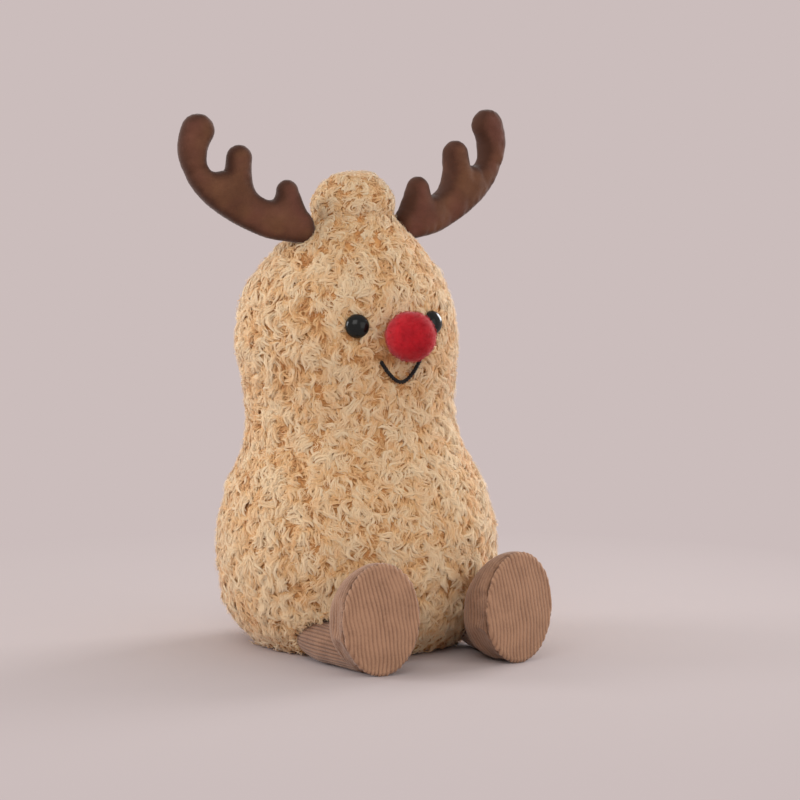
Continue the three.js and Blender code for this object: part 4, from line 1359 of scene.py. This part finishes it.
class PLUSH_OT_eyes(bpy.types.Operator):
    """Make the two polished eyes and finish the washers behind them"""

    bl_idname = "plush.eyes"
    bl_label = "Eyes"

    def execute(self, context):
        gloss, washer = eye_plastic(), nylon()
        angles = np.linspace(0, math.pi / 2, 16)
        dome = [(EYE_RADIUS * math.cos(a) ** 0.9, 0.5 + (EYE_DOME - 0.5) * math.sin(a)) for a in angles]
        # Radius and height of the stem, the rim and the dome
        profile = [(1.5, -9.0), (1.6, -8.0), (1.6, -0.1), (4.7, 0.0), (4.95, 0.2), *dome]
        for side_name, side in SIDES:
            spot, way = SKIN.point(side * EYE_BEARING, EYE_HEIGHT, 0.3)
            points, faces = turned_skin(profile, spot, way)
            eye = object_of(f"eye_bead_{side_name}", mesh_of("eye", points, faces), gloss)
            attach(eye, "torso")
            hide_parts(f"eye_{side_name}")
            ring = frame["nodes"][f"eye_washer_{side_name}"]
            ring.data.materials.clear()
            ring.data.materials.append(washer)
        return {"FINISHED"}


class PLUSH_OT_nose(bpy.types.Operator):
    """Make the felt nose with its short fuzz"""

    bl_idname = "plush.nose"
    bl_label = "Nose"

    def execute(self, context):
        felt = wool_felt()
        low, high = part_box("nose_cover")
        radius = (high.x - low.x) / 2 / MM
        centre = np.array([0, low.y / MM + radius, (low.z + high.z) / 2 / MM])
        way = SKIN.point(0, NOSE_HEIGHT)[1]
        # The felt lies 0.3 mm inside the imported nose, and its fuzz reaches out of it
        felt_radius = radius - 0.3
        angles = np.linspace(-math.pi / 2, math.pi / 2, 48)
        profile = [(felt_radius * math.cos(a), felt_radius * math.sin(a)) for a in angles]
        points, faces = turned_skin(profile, centre, way, 96)
        mesh = mesh_of("nose_ball", points, faces)
        normals = normals_of(mesh)
        dents = 0.22 * noise_at(points, 5.0, 1.0) + 0.06 * noise_at(points, 1.2, 2.0)
        move_points(mesh, points + normals * dents[:, None])
        ball = object_of("nose_ball", mesh, felt)
        ground = mesh.copy()
        lean = laid_on(np.stack([noise_at(points, 2.0, seed) for seed in (1.0, 2.0, 3.0)], 1), normals)
        whole = np.ones(len(points))
        for label, values in (("cover", whole), ("pile", whole), ("combing", lean)):
            put(ground, label, values)
        fuzz = grown("nose_fuzz", ground, lock_tree("Felt fuzz", False), {
            "Length": 0.9 * MM, "Width": 0.13 * MM, "Lift": 0.6 * MM, "Sway": 0.15 * MM,
            "Tuft": 1.5 * MM, "Spacing": 0.42 * MM, "Seed": 40, "Material": felt})
        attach(ball, "torso")
        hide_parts("nose_cover", "nose_fill")
        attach(fuzz, "torso")
        return {"FINISHED"}


class PLUSH_OT_mouth(bpy.types.Operator):
    """Stitch the mouth in twisted thread"""

    bl_idname = "plush.mouth"
    bl_label = "Mouth"

    def execute(self, context):
        black = thread_cotton("cotton_thread_black", linear("#121212"))
        line = mouth_line(out=2.0)
        edges = [(i, i + 1) for i in range(len(line) - 1)]
        mouth = grown("mouth_thread", mesh_of("mouth", line, [], edges), ply_tree(), {
            "Width": context.scene.plush_face.thread, "Turns": 11.0, "Material": black})
        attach(mouth, "torso")
        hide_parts("mouth_stitch")
        return {"FINISHED"}


# Stage


def seen(node):
    """1 for a ray that shows the picture, straight from the camera or by a mirror or a glass, and 0
    for one that only lights it."""
    camera, glossy, through = node("LightPath", out="Is Camera Ray, Is Glossy Ray, Is Transmission Ray")
    return node("Math:MAXIMUM", camera, node("Math:MAXIMUM", glossy, through))


def floor_material(look):
    """Painted studio floor: plain colour under the toy, with its shadow, that runs out into the backdrop."""
    material, node, bsdf = new_material("matt_floor_paint", Roughness=0.9, Specular_IOR_Level=0.1)
    paler = [min(1.0, 1.015 * part) for part in look.floor[:3]] + [1.0]
    dye(node, bsdf, speckle(node, 40.0), look.floor, paler)
    away = node("VectorMath:LENGTH", node("TexCoord", out="Object"))
    share = node("Math:MULTIPLY", node("MapRange", away, 0.08, 0.34), seen(node))
    mixed = node("MixShader", share, bsdf.outputs[0], node("Emission", look.backdrop, 1.0))
    lead(mixed, material.node_tree.nodes["Material Output"], "Surface")
    return material


def studio_world(look):
    """Soft even light from all round, with the backdrop's colour where the camera sees it."""
    world = bpy.data.worlds.new("studio")
    bpy.context.scene.world = world
    world.use_nodes = True
    world.node_tree.nodes.clear()
    node = partial(add, world.node_tree)
    around = node("Background", (1.0, 0.98, 0.96, 1.0), 0.7)
    node("OutputWorld", node("MixShader", seen(node), around, node("Background", look.backdrop, 1.0)))


def lamp(name, power, size, place, aim, colour=(1.0, 1.0, 1.0)):
    """A square softbox of a power in watts and a size in metres, at a place and turned to an aim."""
    light = bpy.data.lights.new(name, "AREA")
    light.energy = power
    light.size = size
    light.color = colour
    box = placed(name, light)
    box.location = place
    box.rotation_euler = (Vector(aim) - Vector(place)).to_track_quat("-Z", "Y").to_euler()


def set_camera(scene):
    """The camera as the photograph was taken: from its right and a little above, at its scale."""
    azimuth, elevation, distance = math.radians(-29.2), math.radians(6), 1.55
    millimetres_per_pixel, pixels, sensor = 0.42, 800, 36
    # The picture's middle lies this far beside the toy's axis, as the camera sees it, and this high
    aside, height = 18.27 * MM, 102.2 * MM
    target = Vector((aside * math.cos(azimuth), aside * math.sin(azimuth), height))
    back = Vector((math.sin(azimuth) * math.cos(elevation), -math.cos(azimuth) * math.cos(elevation),
                   math.sin(elevation)))
    camera = placed("camera", bpy.data.cameras.new("camera"))
    camera.location = target + back * distance
    camera.rotation_mode = "QUATERNION"
    camera.rotation_quaternion = (-back).to_track_quat("-Z", "Y")
    camera.data.sensor_width = sensor
    camera.data.lens = distance * sensor / (millimetres_per_pixel * MM * pixels)
    camera.data.clip_start, camera.data.clip_end = 0.05, 20
    scene.camera = camera


class PLUSH_OT_stage(bpy.types.Operator):
    """Set up the floor, the soft lights and the camera"""

    bl_idname = "plush.stage"
    bl_label = "Studio"

    def execute(self, context):
        look = context.scene.plush_stage
        half = 3.0
        corners = [(-half, -half, 0), (half, -half, 0), (half, half, 0), (-half, half, 0)]
        mesh = bpy.data.meshes.new("floor")
        mesh.from_pydata(corners, [], [(0, 1, 2, 3)])
        floor = object_of("studio_floor", mesh, floor_material(look))
        studio_world(look)
        chest, warm, cool = (0.0, 0.0, 0.11), (1.0, 0.98, 0.95), (0.96, 0.98, 1.0)
        lamp("key", 6.0, 0.9, (-0.9, -1.1, 1.1), chest, warm)
        lamp("fill", 4.0, 1.2, (0.5, -1.4, 0.3), chest)
        lamp("rim_left", 10.0, 0.6, (-1.1, 0.75, 0.5), chest, cool)
        lamp("rim_right", 14.0, 0.6, (1.2, 0.3, 0.5), chest, cool)
        set_camera(context.scene)
        context.scene.view_settings.view_transform = "Standard"
        return {"FINISHED"}


class PLUSH_PT_panel(bpy.types.Panel):
    """The steps that dress the toy, in order"""

    bl_idname = "PLUSH_PT_panel"
    bl_label = "Plush reindeer"
    bl_space_type = "VIEW_3D"
    bl_region_type = "UI"
    bl_category = "Plush"

    def draw(self, context):
        for operator in OPERATORS:
            self.layout.operator(operator.bl_idname)
        for label in SETTINGS:
            group = getattr(context.scene, label)
            box = self.layout.box()
            for prop in group.__annotations__:
                box.prop(group, prop)


OPERATORS = (PLUSH_OT_legs, PLUSH_OT_antlers, PLUSH_OT_eyes, PLUSH_OT_nose, PLUSH_OT_mouth, PLUSH_OT_seat,
             PLUSH_OT_fur, PLUSH_OT_stage)
CLASSES = (*SETTINGS.values(), *OPERATORS, PLUSH_PT_panel)


def register():
    """Makes the settings, the operators and the panel known to Blender."""
    for kind in CLASSES:
        bpy.utils.register_class(kind)
    for label, kind in SETTINGS.items():
        setattr(bpy.types.Scene, label, bpy.props.PointerProperty(type=kind))


def unregister():
    """Takes all of them away again."""
    for label in SETTINGS:
        delattr(bpy.types.Scene, label)
    for kind in reversed(CLASSES):
        bpy.utils.unregister_class(kind)


def main():
    """Dresses the toy step by step."""
    register()
    for operator in OPERATORS:
        group, name = operator.bl_idname.split(".")
        getattr(getattr(bpy.ops, group), name)()


if __name__ == "__main__":
    main()
